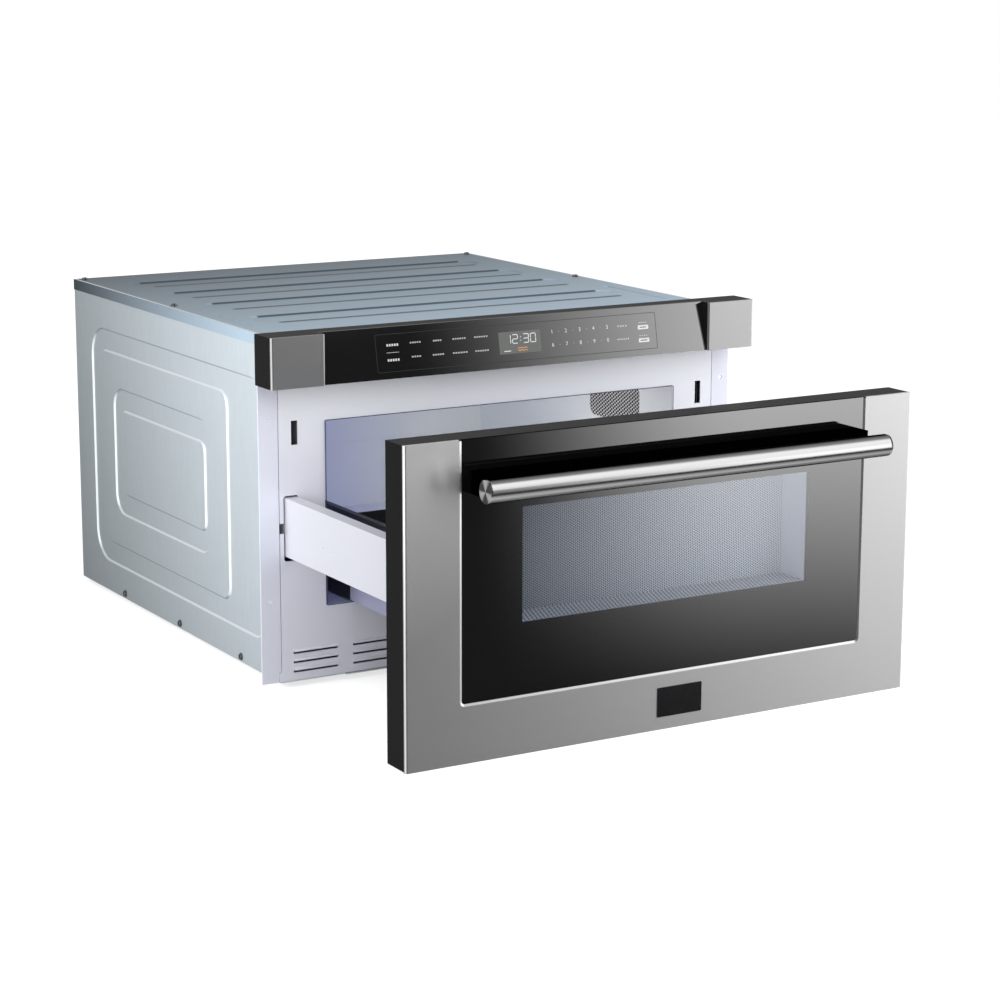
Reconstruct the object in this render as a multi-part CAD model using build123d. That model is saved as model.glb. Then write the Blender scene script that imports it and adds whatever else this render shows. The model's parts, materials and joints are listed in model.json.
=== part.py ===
from build123d import *
import math
import os

os.makedirs("parts", exist_ok=True)

# Built-in microwave drawer, millimetres, drawn with the drawer part open.
# X runs to the viewer's right, the front faces -Y, +Z is up.
# Origin: on the underside of the base pan, centred, in the plane of the face plate.

# ---------------------------------------------------------------- casing
CASE_HALF = 276.6        # centre to outer face of a side panel
CASE_DEPTH = 566.0       # face plate to the back of the rear panel
CASE_TOP = 372.5         # outer face of the top cover
SHEET = 0.8              # galvanised casing sheet
LIP_DROP = 12.5          # fold of the top cover over the side panels
PLATE_T = 1.5            # painted face plate
PLATE_GAP = 1.0          # dark line between face plate and mounting flange
PLATE_FOOT = 1.5         # underside of the face plate
FLANGE_W = 22.4          # how far a mounting flange stands out past the side panel
FLANGE_LEG = 20.0        # leg of the flange along the side panel
HOLE_OUT = 11.9          # cabinet screw holes, from the side panel
HOLE_LOW = 92.0
HOLE_HIGH = 286.0
HOLE_R = 2.25
JOG_H = 11.0             # tab at each lower corner of the face plate
JOG_W = 2.6
EMBOSS = 1.8             # depth of the pressed beads
EMBOSS_TAPER = 50.0

# ---------------------------------------------------------------- cavity
MOUTH_HALF = 222.0       # opening in the face plate
MOUTH_LOW = 80.0
MOUTH_H = 202.0
CAV_LAP = 1.0            # cavity walls behind the edge of the mouth
CAV_LAP_LOW = 0.8
CAV_LAP_HIGH = 2.0
CAV_BACK = 438.0
CAV_T = 1.0
VENT_Y = (69.0, 177.0)   # perforated outlet in the right wall
VENT_DOWN = (62.0, 12.0) # its lower and upper edge below the ceiling
VENT_R = 12.0
VENT_LAP = 9.0

# ---------------------------------------------------------------- drawer
OPEN = 285.0             # how far the drawer stands open here
TRAVEL = 380.0           # closed to fully open
STANDOFF = 3.7           # drawer front to face plate when closed
FRONT_HALF = 303.0
FRONT_LOW = -5.8
FRONT_HIGH = 315.7
FRONT_T = 37.9
FRAME_T = 3.0            # steel frame on the front
STILE_W = 62.8
RAIL_H = 60.4            # bottom rail of the steel frame
GLASS_T = 4.0
GLASS_SINK = 0.8
BEVEL_W = 2.4            # bright bevel round the glass, as deep as the glass is sunk
GLASS_GAP = 0.2
WIN_HALF = 172.0
WIN_LOW = 127.5
WIN_H = 116.2
SCREEN_T = 0.8
SCREEN_LAP = 9.0
TUNNEL_T = 1.0           # painted tunnel from the glass back to the screen
PANE_T = 3.6
PLUG_T = 12.0            # choke panel that enters the mouth
PLUG_GAP = 4.0
BAR_R = 11.5
BAR_HALF = 238.3
BAR_Y_OUT = 41.2         # bar axis in front of the steel
BAR_Z = 272.3
BAR_WALL = 2.0
CAP_T = 2.0
SUPPORT_IN = 8.9         # the support ends this far before the bar
SUPPORT_BELOW = 10.3     # below and above the bar's axis
SUPPORT_ABOVE = 12.7
SUPPORT_OUT = 24.0
SUPPORT_EDGE_R = 2.0
WEB_H = 10.6

# ---------------------------------------------------------------- rails and drive
RAIL_OUT = 269.4         # outer face of a side rail
RAIL_W = 15.0
RAIL_LOW = 139.0
RAIL_H_SIDE = 63.4
RAIL_T = 1.5
RAIL_LIP = 4.5
RAIL_END_SHUT = 550.0    # rear end of the rails with the drawer shut
SLOT_GAP_OUT = 1.6       # rail slots in the face plate, round the rail
SLOT_GAP_IN = 1.1
SLOT_GAP_LOW = 5.7
SLOT_GAP_HIGH = 1.9
SLOT_R = 3.0
NOTCH_UP = 25.0
NOTCH_H = 11.0
MODULE = 1.5
TEETH = 18
PRESSURE = math.radians(20.0)
BACKLASH = 0.25
PINION_Y = 150.0
RACK_H = 10.4
PINION_H = 9.6
RACK_SPARE = 2           # teeth beyond the travel at each end
SHAFT_R = 3.0
RUN_FIT = 0.05
RACK_SINK = 0.32         # rack teeth stay inside the rail's section
ROLLER_R = 11.8
ROLLER_W = 10.0
ROLLER_GAP = 0.3
ROLLER_Y = (30.0, 110.0)
GUIDE_GAP = 3.4          # rail to the outer face of the guide's web
GUIDE_T = 1.5
GUIDE_UP = 5.0           # guide inside the rail's height
GUIDE_DOWN = 4.8
GUIDE_END = 560.0

# ---------------------------------------------------------------- tray
TRAY_HALF = 192.0
TRAY_LIFT = 1.5          # tray above the sill of the mouth
TRAY_H = 96.5
TRAY_REAR_SHUT = 405.0   # rear of the tray with the drawer shut
TRAY_REAR_TOP = 148.0
TRAY_WALL = 2.5
TRAY_RIM = 7.0
TRAY_R = 14.0
DISH_T = 5.0
DISH_GAP = 2.0
BRACKET_T = 1.0
BRACKET_TOP = 122.0

# ---------------------------------------------------------------- control panel
CTRL_HALF = 303.0
CTRL_LOW = 326.2
CTRL_H = 54.0
CTRL_BACK = -3.0
CTRL_FRONT = -42.3
CTRL_GLASS_HALF = 241.3
CTRL_GLASS_LOW_Y = -38.3
CTRL_GLASS_TOP_Y = -28.0
CTRL_GLASS_T = 3.0
END_CAP_T = 2.8
EDGE_R = 2.6             # bent outer edges of the steel
CAP_BEVEL = 1.2
CAP_BEVEL_DEPTH = 0.4

# ---------------------------------------------------------------- places worked out
FRONT_BACK = -STANDOFF - OPEN
FRONT_FACE = FRONT_BACK - FRONT_T
STEEL_BACK = FRONT_FACE + FRAME_T
BAR_Y = FRONT_FACE - BAR_Y_OUT
GLASS_FACE = FRONT_FACE + GLASS_SINK
GLASS_BACK = GLASS_FACE + GLASS_T
PLUG_BACK = FRONT_BACK + PLUG_T
MOUTH_HIGH = MOUTH_LOW + MOUTH_H
CAV_HALF = MOUTH_HALF + CAV_LAP
CAV_FLOOR = MOUTH_LOW - CAV_LAP_LOW
CAV_CEIL = MOUTH_HIGH + CAV_LAP_HIGH
WIN_HIGH = WIN_LOW + WIN_H
SUPPORT_HALF = BAR_HALF - SUPPORT_IN
SUPPORT_LOW = BAR_Z - SUPPORT_BELOW
SUPPORT_HIGH = BAR_Z + SUPPORT_ABOVE
WEB_LOW = BAR_Z - WEB_H / 2.0
WEB_HIGH = BAR_Z + WEB_H / 2.0
RAIL_HIGH = RAIL_LOW + RAIL_H_SIDE
RAIL_IN = RAIL_OUT - RAIL_W
RAIL_END = RAIL_END_SHUT - OPEN
SLOT_OUT = RAIL_OUT + SLOT_GAP_OUT
SLOT_IN = RAIL_IN - SLOT_GAP_IN
SLOT_LOW = RAIL_LOW - SLOT_GAP_LOW
SLOT_HIGH = RAIL_HIGH + SLOT_GAP_HIGH
NOTCH_LOW = RAIL_LOW + NOTCH_UP
NOTCH_HIGH = NOTCH_LOW + NOTCH_H
RACK_MID = (RAIL_LOW + RAIL_HIGH) / 2.0
GUIDE_OUT = RAIL_IN - GUIDE_GAP
GUIDE_LOW = RAIL_LOW + GUIDE_UP
GUIDE_HIGH = RAIL_HIGH - GUIDE_DOWN
TRAY_LOW = MOUTH_LOW + TRAY_LIFT
TRAY_HIGH = TRAY_LOW + TRAY_H
TRAY_REAR = TRAY_REAR_SHUT - OPEN
CTRL_HIGH = CTRL_LOW + CTRL_H
SCREEN_BACK = PLUG_BACK - PANE_T
SCREEN_FACE = SCREEN_BACK - SCREEN_T
PITCH = math.pi * MODULE
PINION_R = MODULE * TEETH / 2.0
RACK_TIP = RAIL_IN - RACK_SINK
RACK_PITCH_X = RACK_TIP + 0.95 * MODULE
PINION_X = RACK_PITCH_X - PINION_R
CAV_OUT = CAV_HALF + CAV_T
VENT_Z = (CAV_CEIL - VENT_DOWN[0], CAV_CEIL - VENT_DOWN[1])
SIDE_IN = CASE_HALF - SHEET
LIP_OUT = CASE_HALF + SHEET
PLATE_HALF = CASE_HALF - PLATE_GAP
FLANGE_HALF = CASE_HALF + FLANGE_W
HOLE_X = CASE_HALF + HOLE_OUT
REAR_FACE = CASE_DEPTH - SHEET
DECK = CASE_TOP - SHEET


def save(name, shape):
    export_step(shape, "parts/" + name + ".step")


def block(x0, x1, y0, y1, z0, z1):
    body = Box(abs(x1 - x0), abs(y1 - y0), abs(z1 - z0))
    return Pos((x0 + x1) / 2.0, (y0 + y1) / 2.0, (z0 + z1) / 2.0) * body


def rod_x(x0, x1, y, z, r):
    body = Rot(0, 90, 0) * Cylinder(r, abs(x1 - x0))
    return Pos((x0 + x1) / 2.0, y, z) * body


def rod_y(x, y0, y1, z, r):
    body = Rot(90, 0, 0) * Cylinder(r, abs(y1 - y0))
    return Pos(x, (y0 + y1) / 2.0, z) * body


def rod_z(x, y, z0, z1, r):
    return Pos(x, y, (z0 + z1) / 2.0) * Cylinder(r, abs(z1 - z0))


def stud(r, sides, height):
    """A flat-sided boss or screw head that stands up from the origin."""
    return extrude(RegularPolygon(r, sides), amount=height)


def prism_x(points, x0, x1):
    """A solid along X whose section is given as (y, z) points."""
    face = make_face(Polyline([(0, y, z) for y, z in points], close=True))
    return extrude(Pos(x0, 0, 0) * face, amount=x1 - x0, dir=(1, 0, 0))


def rounded_y(x0, x1, z0, z1, r, y0, y1):
    """A rounded rectangle seen from the front, from y0 back to y1."""
    plane = Plane(origin=((x0 + x1) / 2.0, y0, (z0 + z1) / 2.0), x_dir=(1, 0, 0), z_dir=(0, 1, 0))
    return extrude(plane * RectangleRounded(abs(x1 - x0), abs(z1 - z0), r), amount=y1 - y0)


def rounded_x(y0, y1, z0, z1, r, x0, depth, taper=0.0):
    """A rounded rectangle seen from the side, sunk from x0 towards +X."""
    plane = Plane(origin=(x0, (y0 + y1) / 2.0, (z0 + z1) / 2.0), x_dir=(0, 1, 0), z_dir=(1, 0, 0))
    return extrude(plane * RectangleRounded(y1 - y0, z1 - z0, r), amount=depth, taper=taper)


def rounded_z(x0, x1, y0, y1, r, z0, depth, taper=0.0):
    """A rounded rectangle seen from above, sunk from z0 downwards."""
    plane = Plane(origin=((x0 + x1) / 2.0, (y0 + y1) / 2.0, z0), x_dir=(1, 0, 0), z_dir=(0, 0, -1))
    return extrude(plane * RectangleRounded(x1 - x0, y1 - y0, r), amount=depth, taper=taper)


def both(shape):
    """The same piece mirrored to the right-hand side."""
    return mirror(shape, about=Plane.YZ)


def save_pair(name, left):
    save(name + "_left", left)
    save(name + "_right", both(left))


# ================================================================ casing
# Side panel: two nested rings pressed inwards, as (y0, y1, z0, z1, corner radius).
RING_OUTER = (28.0, 516.0, 36.5, 323.5, 38.0)
RING_INNER = (129.0, 488.0, 64.0, 296.0, 16.0)
PAD_OUTER = (175.5, 451.0, 103.0, 257.3, 26.0)
PAD_INNER = (190.5, 427.0, 130.6, 229.8, 10.0)
SIDE_SCREW_Y = (101.0, 267.0, 430.0)
SIDE_SCREW_Z = 6.2
TOP_SCREW_Y = (283.0, 553.0)
TOP_SCREW_X = 268.0
HEAD_R = 4.0
HEAD_H = 2.2
HEAD_SIDES = 8
PAN_FLANGE = 14.0


def pressed_ring(outer, inner, x0):
    sunk = rounded_x(*outer, x0, EMBOSS, EMBOSS_TAPER)
    island = rounded_x(*inner, x0, EMBOSS, -EMBOSS_TAPER)
    return sunk - island


def ring_backing(outer, inner, x0, x1):
    """The sheet behind a pressed ring, square-cornered because it faces inwards."""
    y0, y1, z0, z1, r = inner
    lap = r * 0.3 + SHEET
    frame = block(x0, x1, outer[0], outer[1], outer[2], outer[3])
    return frame - block(x0 - 1, x1 + 1, y0 + lap, y1 - lap, z0 + lap, z1 - lap)


side = block(-CASE_HALF, -SIDE_IN, PLATE_T, REAR_FACE, 0, DECK)
for outer, inner in ((RING_OUTER, RING_INNER), (PAD_OUTER, PAD_INNER)):
    side = side + ring_backing(outer, inner, -SIDE_IN, -SIDE_IN + EMBOSS)
    side = side - pressed_ring(outer, inner, -CASE_HALF)
save_pair("side_panel", side)

# Top cover: four long beads and a short groove near each front corner, (x0, x1, y0, y1).
BEADS = (
    (-236.0, 236.0, 453.0, 494.0),
    (-236.0, 236.0, 341.0, 391.0),
    (-236.0, 236.0, 230.0, 284.5),
    (-236.0, 236.0, 112.0, 164.0),
)
BEAD_R = 15.0
GROOVES = ((-262.0, -255.0, 86.0, 188.0), (247.0, 254.0, 60.0, 188.0))
BEAD_DEPTH = 1.5
GROOVE_DEPTH = 0.6

top = block(-LIP_OUT, LIP_OUT, 0, CASE_DEPTH, DECK, CASE_TOP)
for s in (-1, 1):
    top = top + block(s * LIP_OUT, s * CASE_HALF, 0, CASE_DEPTH, CASE_TOP - LIP_DROP, DECK)
for x0, x1, y0, y1 in BEADS:
    top = top + block(x0, x1, y0, y1, DECK - BEAD_DEPTH, DECK)
    top = top - rounded_z(x0, x1, y0, y1, BEAD_R, CASE_TOP, BEAD_DEPTH, EMBOSS_TAPER)
for x0, x1, y0, y1 in GROOVES:
    top = top - block(x0, x1, y0, y1, CASE_TOP - GROOVE_DEPTH, CASE_TOP + 1)
save("top_cover", top)

# Base pan: a tray with low flanges that the side screws go into and a sill under the face plate.
PAN_OUT = SIDE_IN
SILL_HALF = 200.0
SILL_OUT = 2.5
pan = block(-PAN_OUT, PAN_OUT, PLATE_T, REAR_FACE, 0, SHEET)
pan = pan + block(-SILL_HALF, SILL_HALF, -SILL_OUT, PLATE_T, 0, SHEET)
for s in (-1, 1):
    pan = pan + block(s * PAN_OUT, s * (PAN_OUT - SHEET), PLATE_T, REAR_FACE, SHEET, PAN_FLANGE)
VENT_COUNT = 9
for i in range(VENT_COUNT):
    x = (i - (VENT_COUNT - 1) / 2.0) * 24.0
    pan = pan - block(x - 3, x + 3, 460, 540, -1, SHEET + 1)
save("base_pan", pan)

# Rear panel: fan outlet, a row of air slots and the hole of the cord gland.
FAN_X = 150.0
FAN_Z = 196.0
FAN_R = 42.0
FAN_SLOTS = 9
GLAND_X = -225.0
GLAND_Z = 330.0
GLAND_HALF = 8.5
GLAND_IN = 4.0
CORD_HOLE_R = 4.0
SLOT_H = 4.6
REAR_SLOTS = 8
REAR_SLOT_X = -180.0
REAR_PITCH = 26.0
REAR_SLOT_Z = (40.0, 110.0)
rear = block(-CASE_HALF, CASE_HALF, REAR_FACE, CASE_DEPTH, 0, DECK)
for i in range(FAN_SLOTS):
    z = FAN_Z + (i - (FAN_SLOTS - 1) / 2.0) * 9.0
    half = math.sqrt(max(FAN_R ** 2 - (z - FAN_Z) ** 2, 100.0))
    rear = rear - block(
        FAN_X - half, FAN_X + half, REAR_FACE - 1, CASE_DEPTH + 1, z - SLOT_H / 2.0,
        z + SLOT_H / 2.0,
    )
for i in range(REAR_SLOTS):
    x = REAR_SLOT_X + i * REAR_PITCH
    rear = rear - block(x - SLOT_H / 2.0, x + SLOT_H / 2.0, REAR_FACE - 1, CASE_DEPTH + 1, *REAR_SLOT_Z)


def gland_block(half, y0, y1):
    """A square length of the cord gland, about its middle."""
    return block(GLAND_X - half, GLAND_X + half, y0, y1, GLAND_Z - half, GLAND_Z + half)


rear = rear - gland_block(GLAND_HALF, REAR_FACE - 1, CASE_DEPTH + 1)
save("rear_panel", rear)

# Cord gland: a square bushing held by its two collars. The cord itself is not part of the model.
gland = gland_block(GLAND_HALF - 0.1, REAR_FACE - GLAND_IN, CASE_DEPTH + GLAND_IN)
gland = gland + gland_block(GLAND_HALF + 3, CASE_DEPTH, CASE_DEPTH + GLAND_IN + 1)
gland = gland + gland_block(GLAND_HALF + 2, REAR_FACE - GLAND_IN, REAR_FACE)
gland = gland - rod_y(GLAND_X, REAR_FACE - GLAND_IN - 1, CASE_DEPTH + GLAND_IN + 2, GLAND_Z, CORD_HOLE_R)
save("cord_gland", gland)

# Face plate: mouth of the cavity, rail slots, latch slots and hooded air louvres.
LATCH_OUT = 261.0
LATCH_IN = 253.3
LATCH_LOW = 258.3
LATCH_HIGH = 284.3
LOUVRE_W = 53.3
LOUVRE_H = 5.4
LOUVRE_Z = (12.7, 23.0, 33.3)
LOUVRE_X = (-235.0, -163.5, 0.0, 163.5, 235.0)
HOOD_OUT = 2.6
HOOD_T = 0.8

plate = block(-PLATE_HALF, PLATE_HALF, 0, PLATE_T, PLATE_FOOT, DECK - ROLLER_GAP)
for s in (-1, 1):
    jog = PLATE_HALF + JOG_W
    plate = plate + block(s * PLATE_HALF, s * jog, 0, PLATE_T, PLATE_FOOT, PLATE_FOOT + JOG_H - PLATE_GAP)
plate = plate - block(-MOUTH_HALF, MOUTH_HALF, -1, PLATE_T + 1, MOUTH_LOW, MOUTH_HIGH)
for s in (-1, 1):
    a, b = sorted((s * SLOT_OUT, s * SLOT_IN))
    plate = plate - rounded_y(a, b, SLOT_LOW, SLOT_HIGH, SLOT_R, -1, PLATE_T + 1)
    plate = plate - block(s * SLOT_OUT, s * (PLATE_HALF + 1), -1, PLATE_T + 1, NOTCH_LOW, NOTCH_HIGH)
    a, b = sorted((s * LATCH_OUT, s * LATCH_IN))
    plate = plate - block(a, b, -1, PLATE_T + 1, LATCH_LOW, LATCH_HIGH)
for x in LOUVRE_X:
    for z in LOUVRE_Z:
        a = x - LOUVRE_W / 2.0
        b = x + LOUVRE_W / 2.0
        plate = plate - block(a, b, -1, PLATE_T + 1, z - LOUVRE_H / 2.0, z + LOUVRE_H / 2.0)
        crown = z + LOUVRE_H / 2.0
        brim = crown - LOUVRE_H * 0.45
        hood = prism_x(
            [(PLATE_T, crown), (0, crown), (-HOOD_OUT, brim), (-HOOD_OUT + HOOD_T, brim)],
            a, b,
        )
        plate = plate + hood
save("face_plate", plate)

# Mounting flanges: angles outside the side panels that take the cabinet screws.
flange = block(-FLANGE_HALF, -CASE_HALF, 0, PLATE_T, PLATE_FOOT, CASE_TOP - LIP_DROP - ROLLER_GAP)
notch_in = -CASE_HALF - JOG_W
flange = flange - block(notch_in, -CASE_HALF + 1, -1, PLATE_T + 1, 0, PLATE_FOOT + JOG_H)
leg = block(-LIP_OUT, -CASE_HALF, PLATE_T, FLANGE_LEG, PLATE_FOOT, CASE_TOP - LIP_DROP - ROLLER_GAP)
leg = leg - block(-LIP_OUT - 1, -CASE_HALF + 1, -1, FLANGE_LEG + 1, 0, PLATE_FOOT + JOG_H)
flange = flange + leg
for z in (HOLE_LOW, HOLE_HIGH):
    flange = flange - rod_y(-HOLE_X, -1, PLATE_T + 1, z, HOLE_R)
save_pair("mounting_flange", flange)

# Casing screws: the heads, one node.
screws = []
head = stud(HEAD_R, HEAD_SIDES, HEAD_H)
for s in (-1, 1):
    for y in SIDE_SCREW_Y:
        screws.append(Pos(s * CASE_HALF, y, SIDE_SCREW_Z) * (Rot(0, s * 90, 0) * head))
    for y in TOP_SCREW_Y:
        screws.append(Pos(s * TOP_SCREW_X, y, CASE_TOP) * head)
save("casing_screws", Compound(children=screws))

# ================================================================ cavity
GUIDE_X = 5.0            # centre of the waveguide and stirrer
STIR_Y = 330.0
STIR_HOLE = 42.0
cavity = block(-CAV_OUT, CAV_OUT, PLATE_T, CAV_BACK + CAV_T, CAV_FLOOR - CAV_T, CAV_CEIL + CAV_T)
cavity = cavity - block(-CAV_HALF, CAV_HALF, 0, CAV_BACK, CAV_FLOOR, CAV_CEIL)
cavity = cavity - rounded_x(*VENT_Y, *VENT_Z, VENT_R, CAV_HALF - 1, CAV_T + 2)
cavity = cavity - rod_z(GUIDE_X, STIR_Y, CAV_CEIL - 1, CAV_CEIL + CAV_T + 1, STIR_HOLE)
RIB_Z = 160.5
RIB_H = 3.0
RIB_OUT = 1.2
cavity = cavity + block(
    -CAV_HALF, CAV_HALF, CAV_BACK - RIB_OUT, CAV_BACK, RIB_Z - RIB_H / 2.0,
    RIB_Z + RIB_H / 2.0,
)
save("cavity_shell", cavity)

y0, y1 = VENT_Y
z0, z1 = VENT_Z
screen = block(CAV_OUT, CAV_OUT + SHEET, y0 - VENT_LAP, y1 + VENT_LAP, z0 - VENT_LAP, z1 + VENT_LAP)
save("cavity_vent_screen", screen)

# Waveguide: up the back of the cavity and forward over its ceiling, hollow inside.
DUCT_W = 100.0
DUCT_H = 34.0
DUCT_T = 1.2
DUCT_FRONT = STIR_Y - 60.0
DUCT_FOOT = 178.0
DUCT_CEIL = CAV_CEIL + CAV_T + DUCT_H
DUCT_REAR = CAV_BACK + CAV_T + 30.0
a = GUIDE_X - DUCT_W / 2.0
b = GUIDE_X + DUCT_W / 2.0
duct = block(a, b, DUCT_FRONT, DUCT_REAR, CAV_CEIL + CAV_T, DUCT_CEIL)
duct = duct + block(a, b, CAV_BACK + CAV_T, DUCT_REAR, DUCT_FOOT, CAV_CEIL + CAV_T)
hollow = block(
    a + DUCT_T, b - DUCT_T, DUCT_FRONT + DUCT_T, DUCT_REAR - DUCT_T, CAV_CEIL,
    DUCT_CEIL - DUCT_T,
)
hollow = hollow + block(
    a + DUCT_T, b - DUCT_T, CAV_BACK + CAV_T + DUCT_T, DUCT_REAR - DUCT_T,
    DUCT_FOOT + DUCT_T, DUCT_CEIL - DUCT_T,
)
duct = duct - hollow
duct = duct + block(a, b, DUCT_FRONT, CAV_BACK + CAV_T, CAV_CEIL + CAV_T, CAV_CEIL + CAV_T + DUCT_T)
duct = duct - rod_z(GUIDE_X, STIR_Y, CAV_CEIL, CAV_CEIL + CAV_T + DUCT_T + 1, STIR_HOLE)

def shaft_hole(z0, z1):
    """The square hole that the stirrer's shaft turns in."""
    half = SHAFT_R + RUN_FIT
    return block(GUIDE_X - half, GUIDE_X + half, STIR_Y - half, STIR_Y + half, z0, z1)


duct = duct - shaft_hole(DUCT_CEIL - 3, DUCT_CEIL + 1)
ANTENNA_Z = DUCT_FOOT + 47.0
ANTENNA_HOLE = 12.0
duct = duct - block(
    GUIDE_X - ANTENNA_HOLE, GUIDE_X + ANTENNA_HOLE, DUCT_REAR - 3, DUCT_REAR + 1,
    ANTENNA_Z - ANTENNA_HOLE, ANTENNA_Z + ANTENNA_HOLE,
)
save("waveguide", duct)

# Cover sheet that keeps food out of the waveguide.
COVER_HALF = 50.0
save("waveguide_cover", block(a, b, STIR_Y - COVER_HALF, STIR_Y + COVER_HALF, CAV_CEIL - SHEET, CAV_CEIL))

# Magnetron: cooling block with fins on the back of the waveguide, antenna in its hole.
MAG_W = 90.0
MAG_H = 78.0
MAG_D = 62.0
mag = block(
    GUIDE_X - MAG_W / 2, GUIDE_X + MAG_W / 2, DUCT_REAR, DUCT_REAR + 3,
    ANTENNA_Z - MAG_H / 2, ANTENNA_Z + MAG_H / 2,
)
mag = mag + block(
    GUIDE_X - 18, GUIDE_X + 18, DUCT_REAR + 3, DUCT_REAR + MAG_D, ANTENNA_Z - 18,
    ANTENNA_Z + 18,
)
mag = mag + Pos(GUIDE_X, DUCT_REAR, ANTENNA_Z) * (Rot(90, 0, 0) * stud(8.0, 12, 14.0))
for i in range(6):
    y = DUCT_REAR + 10 + i * 7.5
    mag = mag + block(
        GUIDE_X - MAG_W / 2, GUIDE_X + MAG_W / 2, y, y + 1.0, ANTENNA_Z - 28,
        ANTENNA_Z + 28,
    )
mag = mag + block(
    GUIDE_X - 24, GUIDE_X + 24, DUCT_REAR + MAG_D, DUCT_REAR + MAG_D + 16, ANTENNA_Z - 20,
    ANTENNA_Z + 20,
)
save("magnetron", mag)

# Stirrer: gear motor on the waveguide, three-bladed fan inside it.
STIR_R = 38.0
BLADE_T = 1.0
stir_motor = rod_z(GUIDE_X, STIR_Y, DUCT_CEIL, DUCT_CEIL + 20, 22.0)
stir_motor = stir_motor - shaft_hole(DUCT_CEIL - 1, DUCT_CEIL + 12)
save("stirrer_motor", stir_motor)
blade_z = CAV_CEIL + CAV_T + 12.0
stirrer = rod_z(GUIDE_X, STIR_Y, blade_z - 4, DUCT_CEIL + 11, SHAFT_R)
stirrer = stirrer + Pos(GUIDE_X, STIR_Y, blade_z - 4) * stud(8.0, 6, 10.0)
for i in range(3):
    blade = Rot(14, 0, 0) * Box(STIR_R - 5, 20, BLADE_T)
    blade = Pos((STIR_R + 5) / 2.0, 0, 0) * blade
    stirrer = stirrer + Pos(GUIDE_X, STIR_Y, blade_z) * (Rot(0, 0, 120.0 * i) * blade)
save("stirrer_fan", stirrer)

# Lamp of the cavity, above the ceiling.
LAMP_X = 140.0
LAMP_Y = 110.0
lamp_base = CAV_CEIL + CAV_T
holder = block(LAMP_X - 18, LAMP_X + 18, LAMP_Y - 14, LAMP_Y + 14, lamp_base, lamp_base + 3)
holder = holder + block(LAMP_X - 11, LAMP_X + 11, LAMP_Y - 11, LAMP_Y + 11, lamp_base + 3, lamp_base + 24)
holder = holder - block(LAMP_X - 8, LAMP_X + 8, LAMP_Y - 8, LAMP_Y + 8, lamp_base - 1, lamp_base + 14)
bulb = Pos(LAMP_X, LAMP_Y, lamp_base + 3) * stud(6.0, 12, 11.0)
save("cavity_lamp", Compound(children=[holder, bulb]))

# High-voltage parts on the base pan, behind the cavity.
PAN_TOP = SHEET
CORE_X = -180.0
CORE_Y = 500.0
CORE_W = 100.0
CORE_D = 90.0
CORE_H = 84.0
LEG_T = 20.0             # height of the core's yokes
LEG_HALF = 12.0          # half of its middle leg
COIL_HALF = 32.0
COIL_D = 110.0
COIL_FIT = 0.2
core = block(
    CORE_X - CORE_W / 2, CORE_X + CORE_W / 2, CORE_Y - CORE_D / 2, CORE_Y + CORE_D / 2,
    PAN_TOP, PAN_TOP + CORE_H,
)
leg_low = PAN_TOP + LEG_T
leg_high = PAN_TOP + CORE_H - LEG_T
for s in (-1, 1):
    a = CORE_X + s * LEG_HALF
    b = CORE_X + s * COIL_HALF
    core = core - block(a, b, CORE_Y - CORE_D / 2 - 1, CORE_Y + CORE_D / 2 + 1, leg_low, leg_high)
coil = block(
    CORE_X - COIL_HALF, CORE_X + COIL_HALF, CORE_Y - COIL_D / 2, CORE_Y + COIL_D / 2,
    leg_low + COIL_FIT, leg_high - COIL_FIT,
)
coil = coil - block(
    CORE_X - LEG_HALF, CORE_X + LEG_HALF, CORE_Y - CORE_D / 2 - COIL_FIT, CORE_Y + CORE_D / 2 + COIL_FIT,
    leg_low - 1, leg_high + 1,
)
save("hv_transformer", Compound(children=[core, coil]))
CAN_X = -85.0
CAN_Y = 486.0
CAN_H = 96.0
CAN_HALF_W = 25.0
CAN_HALF_D = 16.0
TAB_HALF = 3.0
TAB_H = 10.0
cap = block(
    CAN_X - CAN_HALF_W, CAN_X + CAN_HALF_W, CAN_Y - CAN_HALF_D, CAN_Y + CAN_HALF_D, PAN_TOP,
    PAN_TOP + CAN_H,
)
cap = chamfer(cap.edges().filter_by(Axis.Z), CAN_HALF_D * 0.4)
for s in (-1, 1):
    x = CAN_X + s * CAN_HALF_W * 0.4
    cap = cap + block(
        x - TAB_HALF, x + TAB_HALF, CAN_Y - SHEET, CAN_Y + SHEET, PAN_TOP + CAN_H,
        PAN_TOP + CAN_H + TAB_H,
    )
save("hv_capacitor", cap)
FILTER_X = -20.0
FILTER_Y = 470.0
FILTER_W = 80.0
FILTER_D = 60.0
FILTER_T = 6.0
CHOKE_W = 30.0
CHOKE_D = 35.0
CHOKE_H = 28.0
CHOKE_IN = 10.0
LINE_CAP = 20.0
filt_top = PAN_TOP + FILTER_T
filt = block(FILTER_X, FILTER_X + FILTER_W, FILTER_Y, FILTER_Y + FILTER_D, PAN_TOP, filt_top)
a = FILTER_X + CHOKE_IN
b = FILTER_Y + CHOKE_IN
filt = filt + block(a, a + CHOKE_W, b, b + CHOKE_D, filt_top, filt_top + CHOKE_H)
a = FILTER_X + FILTER_W - CHOKE_IN - LINE_CAP
filt = filt + block(a, a + LINE_CAP, b, b + LINE_CAP, filt_top, filt_top + LINE_CAP)
save("filter_board", filt)

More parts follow.
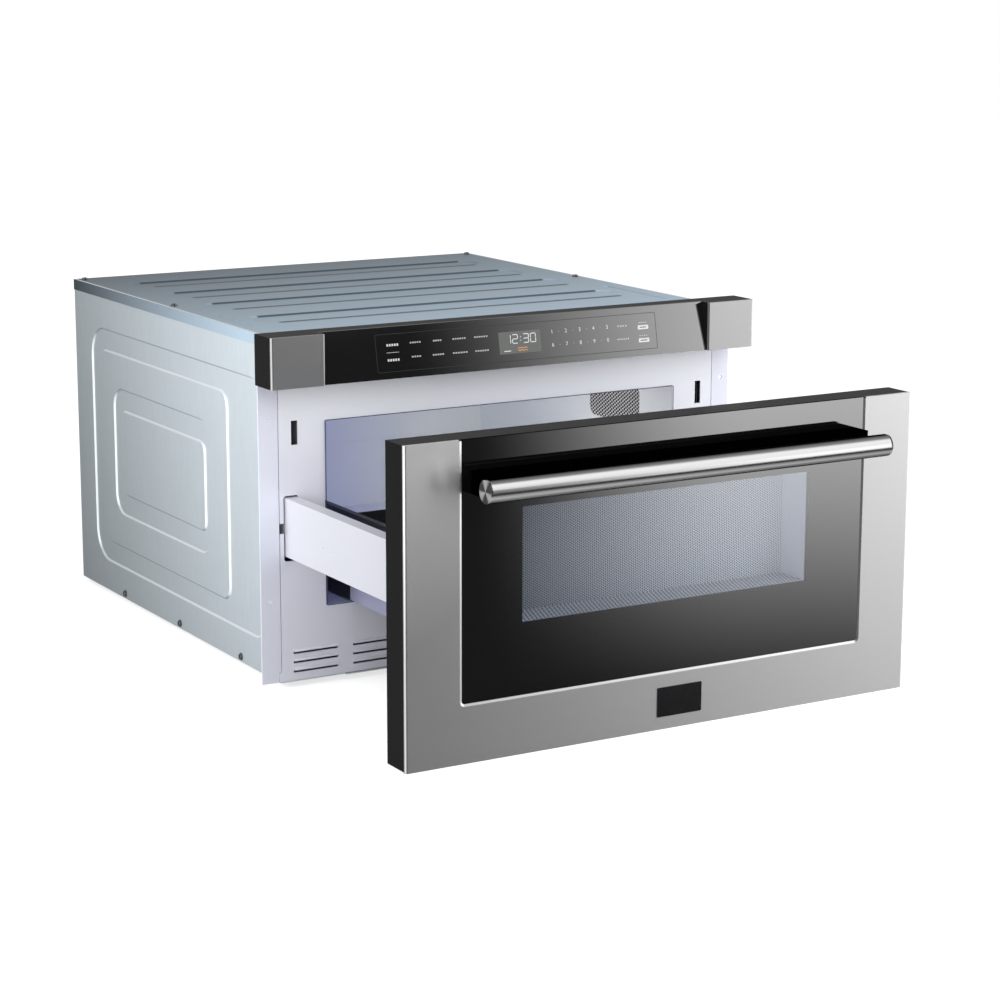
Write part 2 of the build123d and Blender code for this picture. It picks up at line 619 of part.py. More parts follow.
# Cooling fan: frame on the rear panel, motor on three struts, seven-bladed rotor.
FAN_FRAME = 96.0
FAN_D = 26.0
fy1 = REAR_FACE
fy0 = REAR_FACE - FAN_D
frame = block(
    FAN_X - FAN_FRAME / 2, FAN_X + FAN_FRAME / 2, fy0, fy1, FAN_Z - FAN_FRAME / 2,
    FAN_Z + FAN_FRAME / 2,
)
frame = frame - rod_y(FAN_X, fy0 - 1, fy1 + 1, FAN_Z, FAN_R + 2)
for i in range(3):
    strut = Pos(0, fy0 + 1.5, (FAN_R + 4) / 2.0) * Box(5, 3, FAN_R + 4)
    frame = frame + Pos(FAN_X, 0, FAN_Z) * (Rot(0, 120.0 * i, 0) * strut)
motor = rod_y(FAN_X, fy0 - 22, fy0, FAN_Z, 17.0)
bearing = SHAFT_R + RUN_FIT
shaft_way = block(FAN_X - bearing, FAN_X + bearing, fy0 - 10, fy0 + 4, FAN_Z - bearing, FAN_Z + bearing)
motor = motor - shaft_way
frame = frame - shaft_way
save("fan_frame", frame)
save("fan_motor", motor)
rotor = rod_y(FAN_X, fy0 - 9, fy0 + 5, FAN_Z, SHAFT_R)
BLADES = 7
HUB_R = 14.0
HUB_L = 15.0
BLADE_W = 16.0
BLADE_SHEET = 1.4
rotor = rotor + Pos(FAN_X, fy0 + 5 + HUB_L, FAN_Z) * (Rot(90, 0, 0) * stud(HUB_R, 2 * BLADES, HUB_L))
for i in range(BLADES):
    blade = Rot(0, 0, 32) * Box(BLADE_W, BLADE_SHEET, FAN_R - HUB_R + 1)
    blade = Pos(0, fy0 + 5 + HUB_L / 2.0, (FAN_R + HUB_R - 3) / 2.0) * blade
    rotor = rotor + Pos(FAN_X, 0, FAN_Z) * (Rot(0, 360.0 / BLADES * i, 0) * blade)
save("fan_rotor", rotor)

# ================================================================ guides and drive
# Guide channel between cavity and rail, open towards the cavity, window for the pinion.
guide = block(-GUIDE_OUT, -CAV_OUT, PLATE_T, GUIDE_END, GUIDE_LOW, GUIDE_HIGH)
guide = guide - block(
    -GUIDE_OUT + GUIDE_T, -CAV_OUT + 1, 0, GUIDE_END + 1, GUIDE_LOW + GUIDE_T, GUIDE_HIGH - GUIDE_T
)
win = PINION_R + MODULE + 2.0
guide = guide - block(
    -GUIDE_OUT - 1, -GUIDE_OUT + GUIDE_T + 1, PINION_Y - win, PINION_Y + win, RACK_MID - 8, RACK_MID + 8
)
guide = guide - rod_z(-PINION_X, PINION_Y, GUIDE_LOW - 1, GUIDE_LOW + GUIDE_T + 1, SHAFT_R + 1.0)
save_pair("guide_channel", guide)

# Roller pins and rollers: the front roller carries the rail, the rear one holds it down.
ROLL_OUT = RAIL_OUT - RAIL_T - 1.5
ROLL_IN = ROLL_OUT - ROLLER_W
BOSS_R = 5.5
roller_places = (
    (ROLLER_Y[0], RAIL_HIGH - RAIL_T - ROLLER_GAP - ROLLER_R),
    (ROLLER_Y[1], RAIL_LOW + RAIL_T + ROLLER_GAP + ROLLER_R),
)
pins = []
for y, z in roller_places:
    boss = Pos(-ROLL_IN + 0.2, y, z) * (Rot(0, 90, 0) * stud(BOSS_R, 6, ROLL_IN - 0.2 - GUIDE_OUT))
    pin = boss + rod_x(-ROLL_OUT - 0.4, -ROLL_IN + 0.2, y, z, SHAFT_R)
    pins.append(pin)
    pins.append(both(pin))
save("roller_pins", Compound(children=pins))
for name, (y, z) in zip(("front_roller", "rear_roller"), roller_places):
    wheel = rod_x(-ROLL_OUT, -ROLL_IN, y, z, ROLLER_R)
    wheel = wheel - rod_x(-ROLL_OUT - 1, -ROLL_IN + 1, y, z, SHAFT_R + RUN_FIT)
    save_pair(name, wheel)


# Rack and pinion with involute teeth, in mesh as drawn.
def involute(angle):
    return math.tan(angle) - angle


def pinion_points():
    base = PINION_R * math.cos(PRESSURE)
    root = PINION_R - 1.25 * MODULE
    tip = PINION_R + MODULE
    half = math.pi / (2.0 * TEETH) - BACKLASH / (4.0 * PINION_R)
    steps = [base + (tip - base) * k / 2.0 for k in range(3)]
    flank = [(root, half + involute(PRESSURE))]
    for rho in steps:
        flank.append((rho, half + involute(PRESSURE) - involute(math.acos(min(1.0, base / rho)))))
    points = []
    for i in range(TEETH):
        centre = math.pi + 2.0 * math.pi * i / TEETH
        for rho, ang in flank:
            points.append((rho * math.cos(centre - ang), rho * math.sin(centre - ang)))
        for rho, ang in reversed(flank):
            points.append((rho * math.cos(centre + ang), rho * math.sin(centre + ang)))
    return points


teeth_face = make_face(Polyline([(x, y, 0) for x, y in pinion_points()], close=True))
pinion = extrude(teeth_face, amount=PINION_H, dir=(0, 0, 1))
pinion = Pos(-PINION_X, PINION_Y, RACK_MID - PINION_H / 2.0) * pinion
BEARING_DEPTH = 12.0
pinion = pinion + rod_z(-PINION_X, PINION_Y, GUIDE_LOW - BEARING_DEPTH + 0.3, RACK_MID, SHAFT_R)
save_pair("drive_pinion", pinion)

rack_pitch = -RACK_PITCH_X
rack_tip = -RACK_TIP
rack_root = rack_pitch - 1.25 * MODULE
slope = math.tan(PRESSURE)
half_tooth = PITCH / 4.0 - BACKLASH / 4.0
spare = int(round(RACK_SPARE))
first = -int(math.ceil(OPEN / PITCH)) - spare
last = int(math.ceil((TRAVEL - OPEN) / PITCH)) + spare
points = [(-RAIL_OUT + RAIL_T, PINION_Y + first * PITCH)]
points.append((rack_root, PINION_Y + first * PITCH))
for k in range(first, last):
    mid = PINION_Y + (k + 0.5) * PITCH
    wide = half_tooth + (rack_pitch - rack_root) * slope
    thin = half_tooth - (rack_tip - rack_pitch) * slope
    points.append((rack_root, mid - wide))
    points.append((rack_tip, mid - thin))
    points.append((rack_tip, mid + thin))
    points.append((rack_root, mid + wide))
points.append((rack_root, PINION_Y + last * PITCH))
points.append((-RAIL_OUT + RAIL_T, PINION_Y + last * PITCH))
rack_face = make_face(Polyline([(x, y, RACK_MID - RACK_H / 2.0) for x, y in points], close=True))
save_pair("drive_rack", extrude(rack_face, amount=RACK_H, dir=(0, 0, 1)))

# Gear motor under each guide channel; its output bearing carries the pinion shaft.
BOX_OUT = GUIDE_OUT - 1.0
gearbox = block(-BOX_OUT, -CAV_OUT - 1.0, PINION_Y - 18, PINION_Y + 28, GUIDE_LOW - 30, GUIDE_LOW)
motor_x = -(BOX_OUT + CAV_OUT + 1.0) / 2.0
gearbox = gearbox + Pos(motor_x, PINION_Y + 12, GUIDE_LOW - 78) * stud(11.5, 12, 48.0)
gearbox = gearbox - rod_z(
    -PINION_X, PINION_Y, GUIDE_LOW - BEARING_DEPTH, GUIDE_LOW + 1, SHAFT_R + RUN_FIT,
)
save_pair("drive_motor", gearbox)

# Latch switches behind the latch slots.
SW_REACH = 24.0
switch = block(-LATCH_IN + 1.5, -LATCH_IN + 3.0, PLATE_T, SW_REACH + 38, LATCH_LOW - 6, LATCH_HIGH + 6)
switch = switch + block(
    -LATCH_IN + 1.5, -LATCH_IN + 20, PLATE_T, PLATE_T + 1.5, LATCH_LOW - 6, LATCH_HIGH + 6,
)
switch = switch + block(
    -LATCH_OUT - 2, -LATCH_IN + 1.5, SW_REACH, SW_REACH + 34, LATCH_LOW - 3, LATCH_HIGH + 3,
)
save_pair("latch_switch", switch)

# ================================================================ control panel
glass_yz = [
    (CTRL_GLASS_LOW_Y, CTRL_LOW),
    (CTRL_GLASS_TOP_Y, CTRL_HIGH),
    (CTRL_GLASS_TOP_Y + CTRL_GLASS_T, CTRL_HIGH),
    (CTRL_GLASS_LOW_Y + CTRL_GLASS_T, CTRL_LOW),
]
save("control_glass", prism_x(glass_yz, -CTRL_GLASS_HALF, CTRL_GLASS_HALF))

CAP_BACK = CTRL_FRONT + END_CAP_T
wedge_yz = [
    (CTRL_FRONT - 1, CTRL_LOW - 1),
    (CTRL_FRONT - 1, CTRL_HIGH + 1),
    (CTRL_GLASS_TOP_Y + CTRL_GLASS_T, CTRL_HIGH + 1),
    (CTRL_GLASS_TOP_Y + CTRL_GLASS_T, CTRL_HIGH),
    (CTRL_GLASS_LOW_Y + CTRL_GLASS_T, CTRL_LOW),
    (CTRL_GLASS_LOW_Y + CTRL_GLASS_T, CTRL_LOW - 1),
]
housing = block(-CTRL_HALF, CTRL_HALF, CAP_BACK, CTRL_BACK, CTRL_LOW, CTRL_HIGH)
housing = housing - prism_x(wedge_yz, -CTRL_GLASS_HALF, CTRL_GLASS_HALF)
POCKET_HALF = 205.0
POCKET_Y = -19.0
housing = housing - block(
    -POCKET_HALF, POCKET_HALF, POCKET_Y, CTRL_BACK + 1, CTRL_LOW + 8, CTRL_HIGH - 12,
)
FOOT_OUT = 33.0          # feet of the housing on the face plate, from its ends
FOOT_IN = 88.0
for s in (-1, 1):
    housing = housing + block(
        s * (CTRL_HALF - FOOT_IN), s * (CTRL_HALF - FOOT_OUT), CTRL_BACK, 0, CTRL_LOW + 6, CTRL_LOW + 38
    )
save("control_housing", housing)
BOARD_T = 1.6
relay_z = CTRL_LOW + 14
board = block(
    -POCKET_HALF + 3, POCKET_HALF - 3, POCKET_Y, POCKET_Y + BOARD_T, CTRL_LOW + 10,
    CTRL_HIGH - 14,
)
RELAY_X = 130.0
RELAY_W = 40.0
RELAY_H = 14.0
RELAY_D = 10.4
board_top = POCKET_Y + BOARD_T
board = board + block(
    -RELAY_X - RELAY_W / 2, -RELAY_X + RELAY_W / 2, board_top, board_top + RELAY_D, relay_z,
    relay_z + RELAY_H,
)
board = board + block(
    RELAY_X, RELAY_X + RELAY_H, board_top, board_top + RELAY_D, relay_z, relay_z + RELAY_H,
)
save("control_board", board)

end_cap = block(-CTRL_HALF, -CTRL_GLASS_HALF - GLASS_GAP, CTRL_FRONT, CAP_BACK, CTRL_LOW, CTRL_HIGH)
front_edges = end_cap.edges().filter_by(Axis.Z).group_by(Axis.Y)[0]
end_cap = fillet([e for e in front_edges if e.center().X < -CTRL_HALF + 1], EDGE_R)
bevel_x = -CTRL_GLASS_HALF - GLASS_GAP
bevel = make_face(Polyline([
    (bevel_x - CAP_BEVEL, CTRL_FRONT, CTRL_LOW),
    (bevel_x + 1, CTRL_FRONT - 1, CTRL_LOW),
    (bevel_x + 1, CTRL_FRONT + CAP_BEVEL_DEPTH, CTRL_LOW),
    (bevel_x, CTRL_FRONT + CAP_BEVEL_DEPTH, CTRL_LOW),
], close=True))
end_cap = end_cap - extrude(bevel, amount=CTRL_HIGH - CTRL_LOW, dir=(0, 0, 1))
save_pair("end_cap", end_cap)

# ================================================================ drawer front
GLASS_HALF = FRONT_HALF - STILE_W
GLASS_LOW = FRONT_LOW + RAIL_H
front = block(
    -FRONT_HALF + 0.6, FRONT_HALF - 0.6, STEEL_BACK, FRONT_BACK, FRONT_LOW + 0.8,
    FRONT_HIGH - 0.3,
)
front = front - block(-GLASS_HALF, GLASS_HALF, STEEL_BACK - 1, GLASS_BACK, GLASS_LOW, FRONT_HIGH + 1)


def window_block(margin, y0, y1):
    """The window's outline with a margin, from y0 back to y1."""
    return block(-WIN_HALF - margin, WIN_HALF + margin, y0, y1, WIN_LOW - margin, WIN_HIGH + margin)


front = front - window_block(TUNNEL_T, GLASS_BACK - 1, FRONT_BACK + 1)
save("front_panel", front)

OPENING_R = 3.0
steel = block(-FRONT_HALF, FRONT_HALF, FRONT_FACE, STEEL_BACK, FRONT_LOW, FRONT_HIGH)
hole = rounded_y(
    -GLASS_HALF, GLASS_HALF, GLASS_LOW, FRONT_HIGH + 20, OPENING_R, FRONT_FACE - 1,
    STEEL_BACK + 1,
)
steel = steel - hole


def opening_face(margin, y):
    """The outline of the steel's opening with a margin, as a face."""
    middle = (GLASS_LOW - margin + FRONT_HIGH + 20) / 2.0
    plane = Plane(origin=(0, y, middle), x_dir=(1, 0, 0), z_dir=(0, 1, 0))
    height = FRONT_HIGH + 20 - GLASS_LOW + margin
    return plane * RectangleRounded(2 * (GLASS_HALF + margin), height, OPENING_R + margin)


steel = steel - loft(
    [opening_face(BEVEL_W, FRONT_FACE), opening_face(0.0, FRONT_FACE + GLASS_SINK)],
    ruled=True,
)
NICK_W = 3.0
NICK_H = 1.3
for s in (-1, 1):
    steel = steel - block(
        s * (GLASS_HALF - 1), s * (GLASS_HALF + NICK_W), FRONT_FACE - 1, STEEL_BACK + 1,
        FRONT_HIGH - NICK_H, FRONT_HIGH + 1,
    )
outer_edges = steel.edges().filter_by(Axis.Z).group_by(Axis.Y)[0]
outer_edges = [e for e in outer_edges if abs(abs(e.center().X) - FRONT_HALF) < 0.1]
steel = fillet(outer_edges, EDGE_R)
save("front_frame", steel)

glass = rounded_y(
    -GLASS_HALF + GLASS_GAP, GLASS_HALF - GLASS_GAP, GLASS_LOW + GLASS_GAP, FRONT_HIGH + 20,
    2.8, GLASS_FACE, GLASS_BACK,
)
glass = glass - block(
    -FRONT_HALF, FRONT_HALF, GLASS_FACE - 1, GLASS_BACK + 1, FRONT_HIGH - 0.3,
    FRONT_HIGH + 30,
)
save("front_glass", glass)

# Choke panel: the plug that closes the mouth, with the painted window tunnel through it.
plug_half = MOUTH_HALF - PLUG_GAP
plug = block(-plug_half, plug_half, FRONT_BACK, PLUG_BACK, MOUTH_LOW + PLUG_GAP, MOUTH_HIGH - PLUG_GAP)
plug = plug + window_block(TUNNEL_T, GLASS_BACK, FRONT_BACK)
plug = plug - window_block(0.0, GLASS_BACK - 1, PLUG_BACK + 1)
plug = plug - window_block(SCREEN_LAP, SCREEN_FACE, PLUG_BACK + 1)
groove_w = 6.0
inset = 8.0
ring = block(
    -plug_half + inset, plug_half - inset, PLUG_BACK - 5, PLUG_BACK + 1,
    MOUTH_LOW + PLUG_GAP + inset, MOUTH_HIGH - PLUG_GAP - inset,
)
ring = ring - block(
    -plug_half + inset + groove_w, plug_half - inset - groove_w, PLUG_BACK - 6, PLUG_BACK + 2,
    MOUTH_LOW + PLUG_GAP + inset + groove_w, MOUTH_HIGH - PLUG_GAP - inset - groove_w,
)
ring = ring - block(-plug_half, plug_half, PLUG_BACK - 6, PLUG_BACK + 2, MOUTH_LOW, TRAY_HIGH + 4)
plug = plug - ring
save("choke_panel", plug)

# Screen in the rebate of the choke panel, held by the inner pane that closes the window towards the food.
REBATE_FIT = 0.2
save("window_screen", window_block(SCREEN_LAP - REBATE_FIT, SCREEN_FACE, SCREEN_BACK))
save("inner_pane", window_block(SCREEN_LAP - REBATE_FIT, SCREEN_BACK, PLUG_BACK))

# Handle: support bar on the glass, tube on its web, turned discs on its ends.
support = block(
    -SUPPORT_HALF, SUPPORT_HALF, GLASS_FACE - SUPPORT_OUT, GLASS_FACE, SUPPORT_LOW,
    SUPPORT_HIGH,
)
support = fillet(support.edges().filter_by(Axis.Z).group_by(Axis.Y)[0], SUPPORT_EDGE_R)
web = block(-SUPPORT_HALF + 6, SUPPORT_HALF - 6, BAR_Y + 4, GLASS_FACE - SUPPORT_OUT, WEB_LOW, WEB_HIGH)
web = web - rod_x(-BAR_HALF, BAR_HALF, BAR_Y, BAR_Z, BAR_R)
support = support + web
save("handle_support", support)
bar = rod_x(-BAR_HALF + CAP_T, BAR_HALF - CAP_T, BAR_Y, BAR_Z, BAR_R)
bar = bar - rod_x(-BAR_HALF, BAR_HALF, BAR_Y, BAR_Z, BAR_R - BAR_WALL)
save("handle_bar", bar)
caps = []
for s in (-1, 1):
    caps.append(rod_x(s * BAR_HALF, s * (BAR_HALF - CAP_T), BAR_Y, BAR_Z, BAR_R))
save("handle_caps", Compound(children=caps))

# Latch hooks on the back of the drawer front.
HOOK_T = 5.4
HOOK_REACH = 22.0
HOOK_FOOT = 2.0
HOOK_FOOT_HALF = 14.0
HOOK_HALF = 9.0
HOOK_ARM = 12.0
HOOK_NOSE = 5.0
hooks = []
hook_mid = (LATCH_OUT + LATCH_IN) / 2.0
hook_z = (LATCH_LOW + LATCH_HIGH) / 2.0
hook_tip = FRONT_BACK + HOOK_REACH
for s in (-1, 1):
    a = s * hook_mid - HOOK_T / 2.0
    b = s * hook_mid + HOOK_T / 2.0
    hook = block(
        a - HOOK_NOSE, b + HOOK_NOSE, FRONT_BACK, FRONT_BACK + HOOK_FOOT,
        hook_z - HOOK_FOOT_HALF, hook_z + HOOK_FOOT_HALF,
    )
    hook = hook + prism_x(
        [
            (FRONT_BACK + HOOK_FOOT, hook_z - HOOK_HALF),
            (hook_tip, hook_z - HOOK_HALF),
            (hook_tip, hook_z - HOOK_NOSE),
            (hook_tip - HOOK_NOSE, hook_z + HOOK_HALF),
            (hook_tip - HOOK_HALF, hook_z + HOOK_HALF),
            (hook_tip - HOOK_HALF, hook_z - HOOK_HALF + HOOK_ARM),
            (FRONT_BACK + HOOK_FOOT, hook_z - HOOK_HALF + HOOK_ARM),
        ],
        a, b,
    )
    hooks.append(hook)
save("latch_hooks", Compound(children=hooks))

# ================================================================ rails and tray
rail = block(-RAIL_OUT, -RAIL_IN, FRONT_BACK, RAIL_END, RAIL_LOW, RAIL_HIGH)
rail = rail - block(
    -RAIL_OUT + RAIL_T, -RAIL_IN + 1, FRONT_BACK - 1, RAIL_END + 1, RAIL_LOW + RAIL_T, RAIL_HIGH - RAIL_T
)
rail = rail + block(
    -RAIL_IN - RAIL_T, -RAIL_IN, FRONT_BACK, RAIL_END, RAIL_HIGH - RAIL_LIP,
    RAIL_HIGH - RAIL_T,
)
TAB_W = 29.4             # tab of the rail on the back of the drawer front
TAB_SCREW_IN = 7.0
rail = rail + block(-RAIL_OUT, -RAIL_OUT + TAB_W, FRONT_BACK, FRONT_BACK + RAIL_T, RAIL_LOW, RAIL_HIGH)
save_pair("side_rail", rail)

TAB_X = RAIL_OUT - TAB_W + TAB_SCREW_IN
TAB_Z = (RAIL_LOW + 13.0, RAIL_HIGH - 12.4)
bolts = []
for s in (-1, 1):
    for z in TAB_Z:
        bolts.append(Pos(s * TAB_X, FRONT_BACK + RAIL_T, z) * (Rot(-90, 0, 0) * stud(3.6, 6, 1.8)))
save("rail_screws", Compound(children=bolts))

tray = rounded_z(
    -TRAY_HALF, TRAY_HALF, PLUG_BACK - 30, TRAY_REAR, TRAY_R, TRAY_HIGH,
    TRAY_HIGH - TRAY_LOW,
)
tray = tray - block(-TRAY_HALF - 1, TRAY_HALF + 1, PLUG_BACK - 31, PLUG_BACK, TRAY_LOW - 1, TRAY_HIGH + 1)
inner = rounded_z(
    -TRAY_HALF + TRAY_WALL, TRAY_HALF - TRAY_WALL, PLUG_BACK - 30, TRAY_REAR - TRAY_WALL,
    TRAY_R - TRAY_WALL, TRAY_HIGH - TRAY_WALL, TRAY_HIGH - TRAY_LOW - 2 * TRAY_WALL,
)
tray = tray - inner
mouth = block(
    -TRAY_HALF + TRAY_RIM, TRAY_HALF - TRAY_RIM, PLUG_BACK - 31, TRAY_REAR - TRAY_RIM, 150,
    TRAY_HIGH + 1,
)
tray = tray - mouth
tray = tray - block(
    -TRAY_HALF + TRAY_RIM, TRAY_HALF - TRAY_RIM, 90, TRAY_REAR + 1, TRAY_REAR_TOP,
    TRAY_HIGH + 1,
)
save("tray_pan", tray)

dish_half = TRAY_HALF - TRAY_RIM - DISH_GAP
dish_floor = TRAY_LOW + TRAY_WALL
dish = rounded_z(
    -dish_half, dish_half, PLUG_BACK + DISH_GAP, TRAY_REAR - TRAY_RIM - DISH_GAP, 18.0,
    dish_floor + DISH_T, DISH_T,
)
save("glass_tray", dish)

brackets = []
for s in (-1, 1):
    a = s * TRAY_HALF
    b = s * (TRAY_HALF + BRACKET_T)
    bracket = block(a, b, PLUG_BACK, 0, TRAY_LOW + 0.5, BRACKET_TOP)
    brackets.append(bracket)
save("tray_brackets", Compound(children=brackets))
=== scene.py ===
"""Looks of the built-in microwave drawer: finishes, printed marks, small fasteners, camera and studio.

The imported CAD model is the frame. Every rigid form that it holds stays and gets a procedural finish here,
and what is too fine for it, such as print, perforations and screw recesses, is added on top of its faces.
"""

import json
import logging
import math
from dataclasses import dataclass, field
from enum import Enum

import bmesh
import bpy
from mathutils import Matrix, Vector


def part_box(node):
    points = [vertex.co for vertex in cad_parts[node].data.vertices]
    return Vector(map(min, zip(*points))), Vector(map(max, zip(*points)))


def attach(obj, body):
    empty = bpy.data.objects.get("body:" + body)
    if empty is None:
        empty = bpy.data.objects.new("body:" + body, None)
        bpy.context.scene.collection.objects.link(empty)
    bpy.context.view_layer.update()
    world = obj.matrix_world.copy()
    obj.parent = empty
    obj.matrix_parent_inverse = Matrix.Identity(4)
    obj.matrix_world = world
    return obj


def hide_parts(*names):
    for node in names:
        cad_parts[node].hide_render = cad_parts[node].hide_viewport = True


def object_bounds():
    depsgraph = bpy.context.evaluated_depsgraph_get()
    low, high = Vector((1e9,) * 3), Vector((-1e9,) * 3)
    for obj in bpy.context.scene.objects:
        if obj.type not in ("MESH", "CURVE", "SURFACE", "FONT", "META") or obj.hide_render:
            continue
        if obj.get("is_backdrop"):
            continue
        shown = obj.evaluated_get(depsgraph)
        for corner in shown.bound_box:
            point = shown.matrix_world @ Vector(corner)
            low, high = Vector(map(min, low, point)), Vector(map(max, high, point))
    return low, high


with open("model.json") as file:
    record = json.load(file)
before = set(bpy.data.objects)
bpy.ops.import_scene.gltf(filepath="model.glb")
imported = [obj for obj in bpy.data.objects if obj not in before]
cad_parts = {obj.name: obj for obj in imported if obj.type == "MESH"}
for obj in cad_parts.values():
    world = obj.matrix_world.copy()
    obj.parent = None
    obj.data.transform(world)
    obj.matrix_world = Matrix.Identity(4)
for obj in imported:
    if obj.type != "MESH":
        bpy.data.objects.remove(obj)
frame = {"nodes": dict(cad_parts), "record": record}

LOG = logging.getLogger("microwave_drawer")
MM = 0.001
WELD = 0.0001 * MM

Rgb = tuple[float, float, float]
Spot = tuple[float, float]
Outline = list[tuple[float, float]]
Socket = bpy.types.NodeSocket


class Axis(Enum):
    """A direction of the frame, as the position of its number in a vector."""

    X = 0
    Y = 1
    Z = 2


class Side(Enum):
    """Left or right of the oven, as the viewer sees it."""

    LEFT = -1
    RIGHT = 1

    @property
    def word(self) -> str:
        """The side's name in piece names."""
        return self.name.lower()


# ---------------------------------------------------------------- node graphs
class NodeGraph:
    """Builds the node tree of one material or world with short calls."""

    def __init__(self, tree: bpy.types.NodeTree) -> None:
        """Takes the tree and empties it.

        Args:
            tree: The node tree to fill.
        """
        self.tree = tree
        self.tree.nodes.clear()

    def node(self, kind: str, sockets: dict | None = None, **settings: object) -> bpy.types.Node:
        """Adds a node.

        Args:
            kind: Blender's name of the node type.
            sockets: Values or output sockets, by the name or number of the input.
            **settings: Properties of the node.

        Returns:
            The new node.
        """
        made = self.tree.nodes.new(kind)
        for name, value in settings.items():
            setattr(made, name, value)
        for name, value in (sockets or {}).items():
            target = made.inputs[name]
            if isinstance(value, Socket):
                self.tree.links.new(value, target)
            else:
                target.default_value = value
        return made

    def math(self, operation: str, a: Socket | float, b: Socket | float = 0.0) -> Socket:
        """The result of a Math node."""
        return self.node("ShaderNodeMath", {0: a, 1: b}, operation=operation).outputs[0]

    def vector(self, operation: str, a: Socket | Rgb, b: Socket | Rgb = (0.0, 0.0, 0.0)) -> Socket:
        """The vector result of a Vector Math node."""
        return self.node("ShaderNodeVectorMath", {0: a, 1: b}, operation=operation).outputs["Vector"]

    def scaled(self, a: Socket | Rgb, factor: Socket | float) -> Socket:
        """A vector or colour times a number."""
        return self.node("ShaderNodeVectorMath", {0: a, "Scale": factor}, operation="SCALE").outputs["Vector"]

    def length(self, a: Socket) -> Socket:
        """The length of a vector."""
        return self.node("ShaderNodeVectorMath", {0: a}, operation="LENGTH").outputs["Value"]

    def dot(self, a: Socket, b: Socket | Rgb) -> Socket:
        """The dot product of two vectors."""
        return self.node("ShaderNodeVectorMath", {0: a, 1: b}, operation="DOT_PRODUCT").outputs["Value"]

    def ramp(self, value: Socket, low: float, high: float, start: float = 0.0, end: float = 1.0) -> Socket:
        """A smooth step from start to end while value goes from low to high."""
        sockets = {"Value": value, "From Min": low, "From Max": high, "To Min": start, "To Max": end}
        return self.node("ShaderNodeMapRange", sockets, interpolation_type="SMOOTHSTEP").outputs["Result"]

    def line(self, value: Socket, low: float, high: float, start: float, end: float) -> Socket:
        """A straight line from start to end while value goes from low to high."""
        sockets = {"Value": value, "From Min": low, "From Max": high, "To Min": start, "To Max": end}
        return self.node("ShaderNodeMapRange", sockets).outputs["Result"]

    def blend(self, share: Socket | float, a: Socket | Rgb, b: Socket | Rgb) -> Socket:
        """A mix of two colours, b at share 1.

        Args:
            share: How much of the second colour.
            a: The first colour.
            b: The second colour.

        Returns:
            The mixed colour.
        """
        colours = [c if isinstance(c, Socket) else (*c, 1.0) for c in (a, b)]
        mixed = self.node("ShaderNodeMix", {0: share, 6: colours[0], 7: colours[1]}, data_type="RGBA")
        return mixed.outputs[2]

    def mixed(self, share: Socket | float, a: Socket, b: Socket) -> Socket:
        """Shader a, or shader b at share 1."""
        return self.node("ShaderNodeMixShader", {0: share, 1: a, 2: b}).outputs[0]

    def clear(self, tint: Rgb) -> Socket:
        """A shader that lets the view through in a tint."""
        return self.node("ShaderNodeBsdfTransparent", {"Color": (*tint, 1.0)}).outputs[0]

    def place(self) -> Socket:
        """The point on the object, in its own coordinates."""
        return self.node("ShaderNodeTexCoord").outputs["Object"]

    def parts(self, vector: Socket) -> tuple[Socket, Socket, Socket]:
        """The three numbers of a vector."""
        outputs = self.node("ShaderNodeSeparateXYZ", {0: vector}).outputs
        return outputs[0], outputs[1], outputs[2]

    def facing(self) -> tuple[Socket, Socket, Socket]:
        """How far the flat face points along X, Y and Z."""
        return self.parts(self.node("ShaderNodeNewGeometry").outputs["True Normal"])

    def inside(self) -> Socket:
        """1 where a face is seen from behind."""
        return self.node("ShaderNodeNewGeometry").outputs["Backfacing"]

    def noise(self, scale: Rgb, detail: float = 3.0, roughness: float = 0.55) -> Socket:
        """Noise from 0 to 1 that is stretched by a scale per axis, in features per metre.

        Args:
            scale: Features per metre along each axis.
            detail: How many finer layers it has.
            roughness: How strong the finer layers are.

        Returns:
            The noise.
        """
        place = self.vector("MULTIPLY", self.place(), scale)
        sockets = {"Vector": place, "Scale": 1.0, "Detail": detail, "Roughness": roughness}
        return self.node("ShaderNodeTexNoise", sockets).outputs[0]

    def bump(self, height: Socket, depth: float, strength: float = 1.0) -> Socket:
        """A normal bumped by a height of that depth in metres."""
        sockets = {"Height": height, "Distance": depth, "Strength": strength}
        return self.node("ShaderNodeBump", sockets).outputs["Normal"]

    def principled(self, sockets: dict) -> Socket:
        """A Principled shader with these inputs."""
        return self.node("ShaderNodeBsdfPrincipled", sockets).outputs[0]

    def finish(self, surface: Socket) -> None:
        """Ends a material's tree in its output."""
        self.node("ShaderNodeOutputMaterial", {"Surface": surface})


def mirror_share(graph: NodeGraph, ior: float) -> Socket:
    """How much a pane mirrors on its way in; the way out is clear, since the pane doesn't bend the view."""
    fresnel = graph.node("ShaderNodeFresnel", {"IOR": ior}).outputs[0]
    return graph.math("MULTIPLY", fresnel, graph.math("SUBTRACT", 1.0, graph.inside()))


